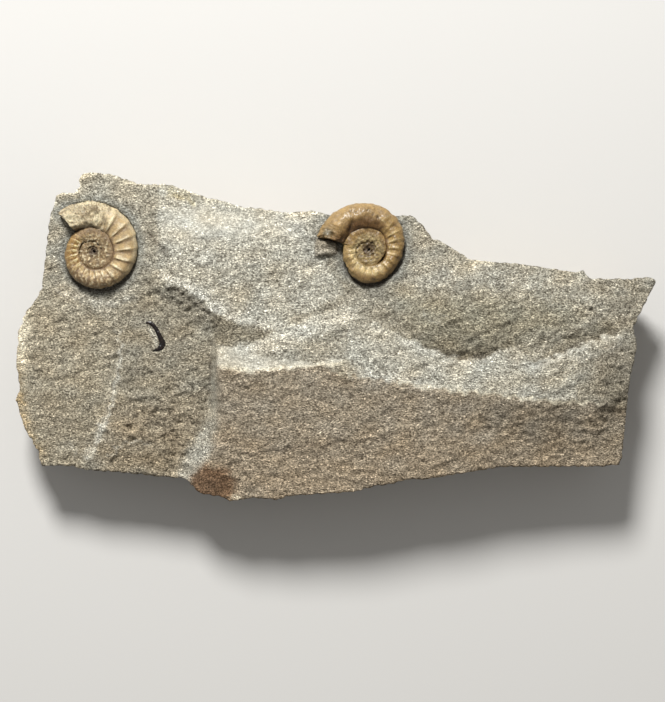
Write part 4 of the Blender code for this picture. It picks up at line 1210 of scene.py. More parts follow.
# Painted shadow: a dark ring at the foot of each trench, faint all round and strongest below each
# shell.
for shell in SHELLS:
    painted_shadow = np.exp(-((shell_gaps[shell["name"]] - SHADOW_PLACE) / SHADOW_WIDTH) ** 2)
    below_it = ramp(shell["centre"][1] - map_y, 1.0, 6.0)
    paint = layer(paint, DEEP_SHADE, painted_shadow * (0.25 + 0.75 * below_it), 0.7)
paint = layer(paint, DEEP_SHADE, 4 * mould * (1 - mould), 0.55)
print("painted", len(PAINT) + len(STREAKS), "colours in turn")

# %% Mottle the paint
MOTTLE_TONE = 0.05
BLOTCH_TONE = 0.045
FURROW_TONE = 0.05
WARMTH_TONE = 0.014
TOWARDS_WARM = np.array([1, 0, -1.4])
mottle = torn_grain(rng, 9.0, 5.5, 20)
blotches = torn_grain(rng, 3.4, 2.0, 16)
furrow_tone = np.clip(furrows, -1.5, 1.5) * (masks["plate"] + 0.6 * masks["slope"])
warmth = grain(rng, 12, 8, 10)
even = 1 - 0.55 * masks["lower"]
tone = even * (MOTTLE_TONE * mottle + BLOTCH_TONE * blotches)
paint *= (1 + tone - FURROW_TONE * furrow_tone)[..., None]
paint *= 1 + WARMTH_TONE * warmth[..., None] * TOWARDS_WARM
paint = np.clip(paint, 0.02, 0.9)
print("rock colour averages", np.round(paint[within(OUTLINE)].mean(axis=0), 2))

# %% Give the slab its colours
WORN_EDGES = (EAST_CREST, SPUR_EDGE, LEDGE_EDGE)
WORN_WIDTH = 0.5
SIDE_FADE = 0.92
STRATA_TONE = 0.09


def add_colour(mesh, name, colours):
    """Store a colour for each point of a mesh."""
    attribute = mesh.color_attributes.new(name=name, type="FLOAT_COLOR", domain="POINT")
    full = np.concatenate([colours, np.ones((len(colours), 1))], axis=1)
    attribute.data.foreach_set("color", full.astype(np.float32).ravel())


def add_value(mesh, name, values):
    """Store a number for each point of a mesh."""
    attribute = mesh.attributes.new(name=name, type="FLOAT", domain="POINT")
    attribute.data.foreach_set("value", np.asarray(values, np.float32))


slab_x, slab_y, slab_z = slab_points.T
slab_colours = np.clip(read_map(paint, slab_x, slab_y), 0, 1)
below = ramp(read_map(face, slab_x, slab_y) - slab_z, 1.0, 6.0)
below[:len(face_points)] = 0
slab_colours += SIDE_FADE * below[:, None] * (WARM_BUFF - slab_colours)
strata = grain(np.random.default_rng(ROCK_SEED + 1), 26.0, 1.6)
strata = read_map(strata, 0.6 * (slab_x + slab_y), 2 * slab_z - 20)
slab_colours *= 1 + STRATA_TONE * below[:, None] * strata[:, None]
add_colour(slab_mesh, "rock_tint", slab_colours)
worn_edges = np.max([crumbled(stroke(line, WORN_WIDTH)) for line in WORN_EDGES], axis=0)
smoothness = masks["smooth"] + masks["ledge"] + 0.5 * masks["scraped"] + worn_edges
fineness = read_map(np.clip(smoothness, 0, 1), slab_x, slab_y)
add_value(slab_mesh, "coarse", 1 - 0.5 * fineness)
print("painted", len(slab_colours), "points")

# %% [markdown]
# ## Formulas as nodes
# Node trees hold long sums of small nodes. A small class keeps a number on its way through a
# tree and makes one node for each sign in a formula. So a formula can be written as one would
# on paper, both for materials and for Geometry Nodes.

# %% A number that travels through a node tree


class Wire:
    """A socket that can be used in a formula."""

    def __init__(self, tree, socket):
        self.tree = tree
        self.socket = socket

    def feed(self, socket, value):
        """Give a socket a wire or a plain number."""
        if isinstance(value, Wire):
            self.tree.links.new(value.socket, socket)
        else:
            socket.default_value = value

    def math(self, operation, *others):
        node = self.tree.nodes.new("ShaderNodeMath")
        node.operation = operation
        for number, value in enumerate((self,) + others):
            self.feed(node.inputs[number], value)
        return Wire(self.tree, node.outputs[0])

    def __add__(self, other):
        return self.math("ADD", other)

    def __sub__(self, other):
        return self.math("SUBTRACT", other)

    def __mul__(self, other):
        return self.math("MULTIPLY", other)

    def __truediv__(self, other):
        return self.math("DIVIDE", other)

    def minus_from(self, value):
        return (self * -1.0) + value

    def ramp(self, low, high, start=0.0, end=1.0):
        """A smooth step from start to end while the number goes from low to high."""
        node = self.tree.nodes.new("ShaderNodeMapRange")
        node.interpolation_type = "SMOOTHSTEP"
        for socket, value in zip(node.inputs[:5], (self, low, high, start, end)):
            self.feed(socket, value)
        return Wire(self.tree, node.outputs[0])


print("these signs each make a node: + - * /")

# %% [markdown]
# ## The material of the rock
# Sandy limestone sparkles a little: pale and dark grains of a quarter of a millimetre lie
# side by side, drawn out along the bedding. A fine noise gives the sand. Two twisted noises,
# folded where they cross their middle, give short curved creases and ripples; the creases are
# painted dark as shade in them, and the ripples pale as painted highlight. Small cells with a
# random value give the specks of mica, pale grains painted bright for their glint as well. All
# of them read Object coordinates, so they stay put on the stone. The same noises drive the bump
# and the tone.

# %% Helpers for materials


def new_material(name, roughness):
    """A material with its Principled shader, and the tools to feed it."""
    material = bpy.data.materials.new(name)
    material.use_nodes = True
    tree = material.node_tree
    shader = tree.nodes["Principled BSDF"]
    shader.inputs["Roughness"].default_value = roughness
    return material, tree, shader


def object_place(tree, stretch=(1.0, 1.0, 1.0), turn=0.0):
    """Object coordinates, stretched and turned about Z."""
    coordinates = tree.nodes.new("ShaderNodeTexCoord")
    mapping = tree.nodes.new("ShaderNodeMapping")
    mapping.inputs["Rotation"].default_value = (0, 0, math.radians(turn))
    mapping.inputs["Scale"].default_value = stretch
    tree.links.new(coordinates.outputs["Object"], mapping.inputs["Vector"])
    return mapping.outputs["Vector"]


def noise(tree, place, size, detail=2.0, rough=0.5, twist=0.0):
    """Soft noise with bumps of about a size in millimetres."""
    node = tree.nodes.new("ShaderNodeTexNoise")
    node.inputs["Scale"].default_value = 1 / (size * MM)
    node.inputs["Detail"].default_value = detail
    node.inputs["Roughness"].default_value = rough
    node.inputs["Distortion"].default_value = twist
    tree.links.new(place, node.inputs["Vector"])
    return Wire(tree, node.outputs["Fac"])


def cells(tree, place, size):
    """Random value of the cell that each spot lies in."""
    node = tree.nodes.new("ShaderNodeTexVoronoi")
    node.inputs["Scale"].default_value = 1 / (size * MM)
    tree.links.new(place, node.inputs["Vector"])
    split = tree.nodes.new("ShaderNodeSeparateColor")
    tree.links.new(node.outputs["Color"], split.inputs[0])
    return Wire(tree, split.outputs[0])


def folded(noise_wire):
    """0 where a noise crosses its middle, which is along thin winding lines."""
    return (noise_wire * 2.0 - 1.0).math("ABSOLUTE")


print("noises and cells can be laid over the object")

# %% Helpers for colour and bump


def mixed(tree, amount, first, second, blend="MIX"):
    """Mix of two colours by an amount."""
    node = tree.nodes.new("ShaderNodeMix")
    node.data_type = "RGBA"
    node.blend_type = blend
    amount.feed(node.inputs[0], amount)
    for socket, value in ((node.inputs[6], first), (node.inputs[7], second)):
        if isinstance(value, bpy.types.NodeSocket):
            tree.links.new(value, socket)
        else:
            socket.default_value = (*[float(part) for part in value], 1.0)
    return node.outputs[2]


def scaled(tree, colour, amount):
    """A colour made lighter or darker by a number."""
    node = tree.nodes.new("ShaderNodeVectorMath")
    node.operation = "SCALE"
    tree.links.new(colour, node.inputs[0])
    tree.links.new(amount.socket, node.inputs["Scale"])
    return node.outputs[0]


def attribute(tree, name):
    """A node that reads a value stored on the mesh."""
    node = tree.nodes.new("ShaderNodeAttribute")
    node.attribute_name = name
    return node


def add_bump(tree, shader, height, depth, strength=1.0):
    """Small relief in the shading, with a depth in millimetres."""
    node = tree.nodes.new("ShaderNodeBump")
    node.inputs["Distance"].default_value = depth * MM
    node.inputs["Strength"].default_value = strength
    tree.links.new(height.socket, node.inputs["Height"])
    tree.links.new(node.outputs["Normal"], shader.inputs["Normal"])


print("colours can be mixed and scaled, and a bump added")

# %% Sizes of the rock's grain, in millimetres
GRAIN_STRETCH = (0.42, 1.0, 1.0)
GRAIN_TURN = -12.0
SAND_SIZE = 0.24
CREASE_SIZE = 0.42
RIPPLE_SIZE = 0.60
LUMP_SIZE = 0.9
STAIN_SIZE = 5.0
SPECK_SIZE = 0.26
ROCK_BUMP = 0.27
STAIN_TAN = srgb(168, 148, 116)
# Warm tint for the darker tones, which include the painted shade in the creases.
WARM_DARKS = (1.06, 1.0, 0.91)
UNCHANGED = (1.0, 1.0, 1.0)
print("grains are drawn out", round(1 / GRAIN_STRETCH[0], 1), "times along the bedding")

# %% Limestone


def limestone():
    """Dull stone with sand, creases, ripples and specks of mica."""
    material, tree, shader = new_material("limestone", 0.92)
    place = object_place(tree, GRAIN_STRETCH, GRAIN_TURN)
    plain = object_place(tree)
    fine = noise(tree, place, SAND_SIZE, 2.0, 0.6)
    crease = noise(tree, place, CREASE_SIZE, 1.0, 0.6, 1.6)
    crease = folded(crease).ramp(0.0, 0.13)
    ripple = noise(tree, place, RIPPLE_SIZE, 1.0, 0.5, 2.2)
    ripple = folded(ripple).ramp(0.0, 0.10, 1.0, 0.0)
    medium = noise(tree, place, LUMP_SIZE, 2.0, 0.6, 0.4)
    broad = noise(tree, plain, STAIN_SIZE, 3.0, 0.6)
    speck = cells(tree, plain, SPECK_SIZE)
    coarse = Wire(tree, attribute(tree, "coarse").outputs["Fac"])
    # Tone: the sand's own grain, with painted shade in the creases and painted highlight on the
    # ripples and mica specks.
    tone = fine.ramp(0.30, 0.70, 0.46, 2.02) * crease.ramp(0.0, 1.0, 0.40, 1.12)
    tone = tone * (ripple * 0.40 + 0.93) * medium.ramp(0.3, 0.7, 0.97, 1.23)
    tone = tone * speck.ramp(0.78, 1.0, 1.0, 1.70) * speck.ramp(0.0, 0.22, 0.42, 1.0)
    tone = (tone - 1.0) * coarse + 1.0
    tint = attribute(tree, "rock_tint").outputs["Color"]
    colour = scaled(tree, tint, tone)
    # The darker tones, painted crease shade among them, are warmed a little.
    warm = mixed(tree, tone.ramp(0.45, 1.05), WARM_DARKS, UNCHANGED)
    colour = mixed(tree, coarse.ramp(0.0, 0.2), colour, warm, "MULTIPLY")
    colour = mixed(tree, broad.ramp(0.5, 0.72) * 0.07, colour, STAIN_TAN)
    tree.links.new(colour, shader.inputs["Base Color"])
    shader.inputs["Specular IOR Level"].default_value = 0.2
    height = fine * 0.80 + crease * 0.65 + ripple * 0.45 + medium * 0.40
    add_bump(tree, shader, height * coarse, ROCK_BUMP, 1.0)
    return material


rock_material = limestone()
slab_mesh.materials.append(rock_material)
print("limestone has", len(rock_material.node_tree.nodes), "nodes")

# %% Put the slab in the scene


def read_floats(data, key, width):
    """The numbers that a mesh keeps under a key, one row for each item."""
    values = np.empty(len(data) * width, np.float32)
    data.foreach_get(key, values)
    return values.astype(float).reshape(-1, width)


def read_points(mesh):
    """The points of a mesh in millimetres."""
    return read_floats(mesh.vertices, "co", 3) / MM


def face_outwards(mesh):
    """Turn a closed mesh the right way round, told by the sign of its volume."""
    points = read_points(mesh)
    mesh.calc_loop_triangles()
    corners = np.empty(len(mesh.loop_triangles) * 3, np.int32)
    mesh.loop_triangles.foreach_get("vertices", corners)
    a, b, c = (points[corners.reshape(-1, 3)[:, n]] for n in range(3))
    volume = (a * np.cross(b, c)).sum() / 6
    if volume < 0:
        mesh.flip_normals()
    return abs(volume)


def add_piece(name, mesh, node):
    """Put a finished mesh in the scene in place of a CAD node."""
    volume = face_outwards(mesh)
    piece = bpy.data.objects.new(name, mesh)
    scene.collection.objects.link(piece)
    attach(piece, "root")
    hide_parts(node)
    print(name, "holds", round(volume), "cubic mm")


add_piece("limestone_slab", slab_mesh, "matrix_slab")

# %% [markdown]
# ## The coiled shells
# A shell is a main piece whose shape follows a rule, so Geometry Nodes make it. The tree takes
# a flat grid. Its long side becomes the angle along the coil, and its short side the way
# round the tube. Two curves hold the measured radii of the last whorl. For each whorl
# further in, the same curves are read one turn later and shrunk by the coil's growth. Each
# rib falls gently one way and steeply the other, as the real ones do, and the spacing
# changes once along the coil. A seeded random number makes each rib a little stronger or
# weaker than the next.

# %% Parts of the tree of a coiled shell
SHELL_INPUTS = {
    "turns": "Turns", "growth": "Growth per turn", "pitch": "Rib pitch",
    "wider_pitch": "Wider rib pitch", "wider_from": "Wider ribs from",
    "steep": "Steep share of a rib",
    "rib_depth": "Rib depth", "lean": "Rib lean", "half_width": "Half width",
    "worn_from": "Worn from", "worn_until": "Worn until", "seed": "Seed",
}
SHELL_READINGS = ("angle", "rib", "across")
FULL_RIBS_FROM = 318.0
UPPER_ROWS = 0.7
WIDTH_TURN = 450.0


def radius_curve(tree, stations, share):
    """A curve node through the measured radii. It reads a share of the turn."""
    node = tree.nodes.new("ShaderNodeFloatCurve")
    top = max(radius for _, radius in stations)
    first = stations[0][0]
    curve = node.mapping.curves[0]
    spots = [((angle - first) / 360, radius / top) for angle, radius in stations]
    curve.points[0].location = spots[0]
    curve.points[-1].location = spots[-1]
    for spot in spots[1:-1]:
        curve.points.new(*spot)
    node.mapping.update()
    tree.links.new(share.socket, node.inputs["Value"])
    return Wire(tree, node.outputs[0]) * (top * MM)


def grid_shares(tree, given):
    """A grid of points, and how far along and how far round each of them is."""
    grid = tree.nodes.new("GeometryNodeMeshGrid")
    grid.inputs["Size X"].default_value = 1.0
    grid.inputs["Size Y"].default_value = 1.0
    tree.links.new(given.outputs["Columns"], grid.inputs["Vertices X"])
    tree.links.new(given.outputs["Rows"], grid.inputs["Vertices Y"])
    position = tree.nodes.new("GeometryNodeInputPosition")
    split = tree.nodes.new("ShaderNodeSeparateXYZ")
    tree.links.new(position.outputs[0], split.inputs[0])
    along = Wire(tree, split.outputs[0]) + 0.5
    round_tube = Wire(tree, split.outputs[1]) + 0.5
    return grid.outputs["Mesh"], along, round_tube


print("a shell's tree has", len(SHELL_INPUTS), "sizes to set")

# %% The wave of the ribs
SMALLEST_RIB = 0.75
RIB_CHANCE = 0.3
GENTLE_POWER = 1.5
CREST_CUT = 0.94
CREST_ROUNDING = 0.10


def rib_wave(tree, angle, wire):
    """1 on each crest, falling gently one way and steeply the other way to the groove."""
    past = angle - wire["wider_from"]
    place = past.math("MAXIMUM", 0.0) / wire["wider_pitch"]
    place = place + past.math("MINIMUM", 0.0) / wire["pitch"]
    number = place.math("FLOOR")
    chance = tree.nodes.new("ShaderNodeTexWhiteNoise")
    chance.noise_dimensions = "1D"
    tree.links.new((number + wire["seed"]).socket, chance.inputs["W"])
    strength = Wire(tree, chance.outputs["Value"]) * RIB_CHANCE + SMALLEST_RIB
    share = place - number
    gentle = share.minus_from(1.0).math("POWER", GENTLE_POWER)
    steep = (share.minus_from(1.0) / wire["steep"]).minus_from(1.0).math("MAXIMUM", 0.0)
    crest = gentle.math("MAXIMUM", steep)
    return crest.math("SMOOTH_MIN", CREST_CUT, CREST_ROUNDING) * strength


print("ribs are", LEFT_SHELL["pitch"], "and", RIGHT_SHELL["pitch"], "degrees apart at first")

# %% Where each point of the coil goes
TUBE_SHARE = 0.505
INNER_OVERLAP = 0.05
INNER_RIB_LOSS = 0.9
WORN_RIBS = 0.15
END_CAP = 2.0
START_CAP = 0.004


def coil_positions(tree, wire, shell, along, round_tube):
    """Where each grid point goes: radius, height, angle, and what the finish needs."""
    end = float(end_angle(shell))
    start = end - 360.0
    log_growth = wire["growth"].math("LOGARITHM", math.e)
    angle = along.minus_from(1.0) * wire["turns"] * -360.0 + end
    inward = (angle.minus_from(start) / 360.0).math("CEIL").math("MAXIMUM", 0.0)
    share = (angle + inward * 360.0 - start) / 360.0
    shrink = (inward * -1.0 * log_growth).math("EXPONENT")
    spread = inward.math("MINIMUM", 1.0) * shell["inner_spread"] + 1.0
    outer = radius_curve(tree, shell["outer"], share) * shrink * spread
    seam = radius_curve(tree, shell["seam"], share) * shrink
    half = wire["half_width"] * ((angle - end) / WIDTH_TURN * log_growth).math("EXPONENT")
    upper = (round_tube / UPPER_ROWS).math("MINIMUM", 1.0)
    lower = ((round_tube - UPPER_ROWS) / (1 - UPPER_ROWS)).math("MAXIMUM", 0.0)
    around = (upper + lower) * math.pi
    across = around.math("COSINE").minus_from(1.0) * 0.5
    reach = (outer - seam) * (inward.math("MINIMUM", 1.0) * INNER_OVERLAP + TUBE_SHARE)
    wave = rib_wave(tree, angle + across.math("POWER", 2.0) * wire["lean"], wire)
    grown = angle.ramp(FULL_RIBS_FROM - 60, FULL_RIBS_FROM + 10)
    fade_from = grown * 0.30 + 0.30
    outer_rib = grown * 0.22 + 0.20
    strength = across.ramp(0.03, 0.22)
    strength = strength * across.ramp(fade_from, fade_from + 0.35, 1.0, outer_rib)
    strength = strength * angle.ramp(wire["worn_from"], wire["worn_until"], 1.0, WORN_RIBS)
    strength = strength / (inward * INNER_RIB_LOSS + 1.0)
    swell = (wave.minus_from(1.0) * strength * wire["rib_depth"]).minus_from(1.0)
    to_end = angle.ramp(end - END_CAP, end, 0.0, 1.0).math("POWER", 2.0).minus_from(1.0)
    close = to_end.math("MAXIMUM", 0.0).math("SQRT") * along.ramp(0.0, START_CAP)
    radius = outer - reach - reach * around.math("COSINE") * swell * close
    height = half * around.math("SINE") * swell * close
    return angle, radius, height, wave * strength, across


def place_points(tree, mesh, angle, radius, height):
    """Move the points of the grid to their places on the coil."""
    turn = angle * (math.pi / 180)
    combine = tree.nodes.new("ShaderNodeCombineXYZ")
    tree.links.new((radius * turn.math("COSINE")).socket, combine.inputs[0])
    tree.links.new((radius * turn.math("SINE")).socket, combine.inputs[1])
    tree.links.new(height.socket, combine.inputs[2])
    move = tree.nodes.new("GeometryNodeSetPosition")
    tree.links.new(mesh, move.inputs["Geometry"])
    tree.links.new(combine.outputs[0], move.inputs["Position"])
    return move.outputs[0]


def store(tree, mesh, name, wire):
    """Keep a value on the points, for the finish to read."""
    node = tree.nodes.new("GeometryNodeStoreNamedAttribute")
    node.data_type = "FLOAT"
    node.domain = "POINT"
    node.inputs["Name"].default_value = name
    tree.links.new(mesh, node.inputs["Geometry"])
    tree.links.new(wire.socket, node.inputs["Value"])
    return node.outputs[0]


print("the tube closes over its last", END_CAP, "degrees")

# %% Build the tree of a shell
TURNS = 4.3
COLUMNS = 1500
ROWS = 49
WELD_GAP = 0.000002


def shell_tree(shell):
    """The whole tree, with named inputs for its sizes."""
    tree = bpy.data.node_groups.new("coiled_" + shell["name"], "GeometryNodeTree")
    for name in ("Columns", "Rows"):
        tree.interface.new_socket(name=name, in_out="INPUT", socket_type="NodeSocketInt")
    for name in SHELL_INPUTS.values():
        tree.interface.new_socket(name=name, in_out="INPUT", socket_type="NodeSocketFloat")
    tree.interface.new_socket(name="Finish", in_out="INPUT", socket_type="NodeSocketMaterial")
    tree.interface.new_socket(name="Shell", in_out="OUTPUT", socket_type="NodeSocketGeometry")
    given = tree.nodes.new("NodeGroupInput")
    wire = {key: Wire(tree, given.outputs[name]) for key, name in SHELL_INPUTS.items()}
    mesh, along, round_tube = grid_shares(tree, given)
    angle, radius, height, rib, across = coil_positions(tree, wire, shell, along, round_tube)
    for name, value in zip(SHELL_READINGS, (angle, rib, across)):
        mesh = store(tree, mesh, name, value)
    mesh = place_points(tree, mesh, angle, radius, height)
    weld = tree.nodes.new("GeometryNodeMergeByDistance")
    weld.inputs["Distance"].default_value = WELD_GAP
    realize = tree.nodes.new("GeometryNodeRealizeInstances")
    finish = tree.nodes.new("GeometryNodeSetMaterial")
    result = tree.nodes.new("NodeGroupOutput")
    tree.links.new(mesh, weld.inputs["Geometry"])
    tree.links.new(weld.outputs[0], realize.inputs[0])
    tree.links.new(realize.outputs[0], finish.inputs["Geometry"])
    tree.links.new(given.outputs["Finish"], finish.inputs["Material"])
    tree.links.new(finish.outputs[0], result.inputs[0])
    return tree


print("each shell gets", COLUMNS, "by", ROWS, "points")

# %% Grow a shell


def grow_shell(shell, material, seed):
    """Run the tree and return a plain mesh."""
    tree = shell_tree(shell)
    holder = bpy.data.objects.new(shell["name"] + "_holder", bpy.data.meshes.new("empty_mesh"))
    scene.collection.objects.link(holder)
    modifier = holder.modifiers.new("coil", "NODES")
    modifier.node_group = tree
    sizes = {**shell, "turns": TURNS, "seed": seed, "half_width": shell["half_width"] * MM}
    values = {name: float(sizes[key]) for key, name in SHELL_INPUTS.items()}
    values.update({"Columns": COLUMNS, "Rows": ROWS, "Finish": material})
    for item in tree.interface.items_tree:
        if item.in_out == "INPUT":
            modifier[item.identifier] = values[item.name]
    bpy.context.view_layer.update()
    evaluated = holder.evaluated_get(bpy.context.evaluated_depsgraph_get())
    mesh = bpy.data.meshes.new_from_object(evaluated)
    holder.modifiers.remove(modifier)
    bpy.data.objects.remove(holder)
    print(shell["name"], "grew", len(mesh.vertices), "points")
    return mesh


print("a shell makes", TURNS, "turns from its first point to its end")

# %% [markdown]
# ## Wear, colour, painted highlight and painted shade of the shells
# Calcite keeps the shell's form but not evenly. The last part of the left shell is a crumbly
# cream crust, its middle is pitted, and its ribs stay pale where the grooves are brown; the
# crests also carry painted highlight, and the grooves, the seams and the foot of each rib
# painted shade. The right shell is polished honey with a few chips, and its end is broken off
# unevenly; its rib crests carry painted glints, and its seams and the inner side of its top
# whorl painted shade. Noise in all three directions gives the pits, and the stored rib and
# angle values say where each colour goes.

# %% Tools for wear
WAVES = 40


def solid_noise(points, size, rng):
    """Random waves added up, about 1 high, with bumps of a size in millimetres."""
    total = np.zeros(len(points))
    for _ in range(WAVES):
        direction = rng.standard_normal(3)
        direction /= np.linalg.norm(direction)
        wave = 2 * math.pi / (size * rng.uniform(0.75, 1.35))
        total += np.cos(points @ direction * wave + rng.uniform(0, 2 * math.pi))
    return total / math.sqrt(WAVES / 2)


def layers(colours, coats):
    """Lay several colours over each other, each with its own mask."""
    for colour, mask in coats:
        colours = layer(colours, colour, mask)
    return colours


def spot(points, x, y, wide, tall, turn=0.0):
    """1 in the middle of an oval on the shell's upper side, fading to 0 at its edge."""
    cosine = math.cos(math.radians(turn))
    sine = math.sin(math.radians(turn))
    run_x = points[:, 0] - x
    run_y = points[:, 1] - y
    along = (run_x * cosine + run_y * sine) / wide
    over = (run_y * cosine - run_x * sine) / tall
    return np.exp(-(along ** 2 + over ** 2)) * (points[:, 2] > -0.5)


def shade_by(value, groove, flank, crest):
    """From a groove's colour through the flank's to the crest's."""
    low = ramp(value, 0.0, 0.3)[:, None]
    high = ramp(value, 0.35, 0.85)[:, None]
    return (groove * (1 - low) + flank * low) * (1 - high) + crest * high


print("noise in all directions adds up", WAVES, "waves")

# %% Colours of the left shell
CREST_CREAM = srgb(234, 218, 180)
FLANK_TAN = srgb(178, 152, 108)
GROOVE_BROWN = srgb(132, 108, 76)
AMBER = srgb(150, 116, 62)
AMBER_LIGHT = srgb(240, 220, 164)
CRUST_CREAM = srgb(202, 187, 154)
CRUST_BROWN = srgb(140, 122, 92)
CRUST_LUMP = srgb(216, 204, 170)
# Brown of the pits, also laid as painted shade at the foot of the ribs and in the seams.
PIT_AND_SHADE_BROWN = srgb(96, 72, 46)
CENTRE_TAN = srgb(143, 121, 86)
CENTRE_DARK = srgb(60, 42, 24)
CRUST_STAINS = (
    (-0.7, 9.9, 2.4, 1.1), (-5.4, 9.8, 1.2, 0.9), (-1.6, 8.4, 2.2, 1.1), (3.0, 6.4, 0.9, 2.0),
)
CRUST_LUMPS = ((-5.7, 7.9, 1.9, 1.4), (1.2, 7.2, 0.9, 1.6), (-2.4, 11.6, 2.4, 0.7))
CRUST_FROM = 424
CRUST_FULL = 440
print("the crust begins at", CRUST_FROM, "of", end_angle(LEFT_SHELL), "degrees")

# %% Finish of the left shell


def spots(points, ovals):
    """The strongest of several ovals at each point."""
    return np.max([spot(points, *oval) for oval in ovals], axis=0)


def weather_left(points, normals, angle, rib, across, radius, rng):
    """Moved points, their colours and their gloss."""
    small = solid_noise(points, 0.55, rng)
    beads = solid_noise(points, 0.9, rng)
    lumps = solid_noise(points, 1.5, rng)
    large = solid_noise(points, 2.6, rng)
    crust = ramp(angle + 5 * lumps, CRUST_FROM, CRUST_FULL)
    middle = 1 - ramp(radius, 3.3, 4.5)
    low_side = ramp(angle, 195, 235) * (1 - ramp(angle, 300, 330))
    lip = crust * np.exp(-((across - 0.22) / 0.10) ** 2)
    ragged = ramp(angle, 472, 492)
    pitted = 0.7 * crust + 0.12 * middle + 0.7 * low_side * ramp(across, 0.3, 0.5)
    pits = ramp(small + 0.4 * beads, 0.7, 1.7) * np.clip(pitted, 0, 1)
    push = -0.12 * pits + crust * (0.12 * lumps + 0.08 * beads + 0.03 * small)
    push += 0.22 * lip - 0.22 * crust * ramp(across, 0.3, 0.45) * (1 - ramp(across, 0.7, 0.9))
    push += 0.05 * middle * beads + 0.04 * large + 0.02 * small
    push -= 0.40 * ragged * np.maximum(lumps, 0)
    moved = points + normals * push[:, None]
    # Crests: partly their own pale calcite, partly painted highlight.
    crest = ramp(rib + 0.10 * large, 0.48, 0.94)
    amber = ramp(angle, 132, 150) * (1 - ramp(angle, 205, 245))
    node = ramp(rib, 0.34, 0.62) * (1 - ramp(across, 0.35, 0.7))
    fine_line = ramp(rib, 0.11, 0.19) * ramp(across, 0.45, 0.65) * (1 - ramp(across, 0.85, 0.95))
    outer_brown = low_side * ramp(across, 0.28, 0.5) * (1 - ramp(across, 0.7, 0.95))
    # Painted shade: a dark line at the foot of each rib's steep side.
    line = (1 - ramp(rib, 0.03, 0.16)) * ramp(across, 0.1, 0.2) * (1 - ramp(across, 0.55, 0.75))
    top = ramp(angle, 405, 430)
    stain = spots(points, CRUST_STAINS) * (0.75 + 0.35 * small)
    # Painted shade where each whorl meets the one inside it.
    seam = 1 - ramp(across, 0.03, 0.13)
    # Grooves: partly their own brown, partly painted shade.
    colours = layers(shade_by(rib, GROOVE_BROWN, FLANK_TAN, FLANK_TAN), (
        (CREST_CREAM, crest * ramp(angle, 225, 300)),
        (CREST_CREAM, 0.5 * ramp(angle, 300, 350) * ramp(across, 0.78, 0.95)),
        (AMBER, 0.85 * amber),
        (AMBER_LIGHT, amber * (node + 0.5 * fine_line)),
        (CREST_CREAM, 0.5 * low_side * ramp(beads, 0.2, 1.2)),
        (GROOVE_BROWN, outer_brown * ramp(-beads, -0.3, 0.8)),
        (PIT_AND_SHADE_BROWN, 0.6 * line * ramp(angle, 225, 290)),
        (CREST_CREAM, 0.45 * top * ramp(across, 0.1, 0.3)),
        (CENTRE_TAN, 0.85 * middle),
        (CREST_CREAM, middle * 0.7 * ramp(beads + 0.5 * small, 0.5, 1.5)),
        (PIT_AND_SHADE_BROWN, middle * 0.5 * ramp(-beads - 0.3 * small, 0.4, 1.4)),
        (CRUST_CREAM, 0.92 * crust),
        (CRUST_BROWN, 0.8 * crust * ramp(lumps + 0.7 * small, 0.3, 1.2)),
        (CREST_CREAM, 0.5 * crust * ramp(beads - 0.6 * lumps, 0.6, 1.6)),
        (CRUST_BROWN, 0.9 * top * stain),
        (CRUST_LUMP, 0.75 * crust * spots(points, CRUST_LUMPS)),
        (CREST_CREAM, 0.75 * lip),
        (PIT_AND_SHADE_BROWN, 0.7 * pits),
        (PIT_AND_SHADE_BROWN, seam * (0.75 - 0.55 * middle)),
        (CENTRE_DARK, 0.85 * (1 - ramp(radius, 0.5, 1.8))),
    ))
    colours *= (1 - 0.06 * np.clip(crust + middle, 0, 1) - 0.16)[:, None]
    gloss = np.clip(0.35 + 0.5 * amber + 0.15 * low_side - 0.35 * crust - 0.2 * middle, 0, 1)
    return moved, colours, gloss


print(len(CRUST_STAINS), "stains and", len(CRUST_LUMPS), "lumps lie on the crust")

# %% Colours of the right shell
HONEY = srgb(146, 117, 74)
HONEY_DEEP = srgb(106, 72, 32)
HONEY_LIGHT = srgb(184, 154, 104)
HONEY_YELLOW = srgb(176, 146, 90)
# Dark brown; along the seams it is painted shade.
SEAM_BROWN = srgb(70, 46, 22)
# Pale calcite; on the rib crests it is painted glint, on nodes and beads partly painted highlight.
RIB_LIGHT = srgb(226, 202, 152)
OLD_GOLD = srgb(150, 134, 96)
SMOKE = srgb(124, 119, 104)
CHIPS = (
    (-0.35, 9.2, 0.55, 0.16, 25), (-3.1, 8.75, 0.5, 0.18, 20), (2.1, 7.6, 0.5, 0.3, 0),
    (-4.4, 9.0, 0.3, 0.3, 0), (0.9, 8.2, 0.3, 0.2, 0),
)
SCRATCHES = ((3.2, 7.0, 1.3, 0.10, -45), (4.3, 7.6, 1.0, 0.09, 35))
SMOKY_WINDOW = (-10.0, 3.9, 1.5, 1.3)
WAIST = (-4.3, 5.0, 0.45, 1.7, -15)
WAXY_LUMP = (-7.0, 5.4, 1.7, 1.5, 30)
BRUISE = (-0.8, 7.5, 2.6, 1.6)
YELLOW_PATCH = (-5.6, 8.6, 2.0, 1.6, 30)
RIGHT_TONE = np.array([0.675, 0.65, 0.575])
print(len(CHIPS), "chips and", len(SCRATCHES), "scratches mark the polished top")

# %% Finish of the right shell


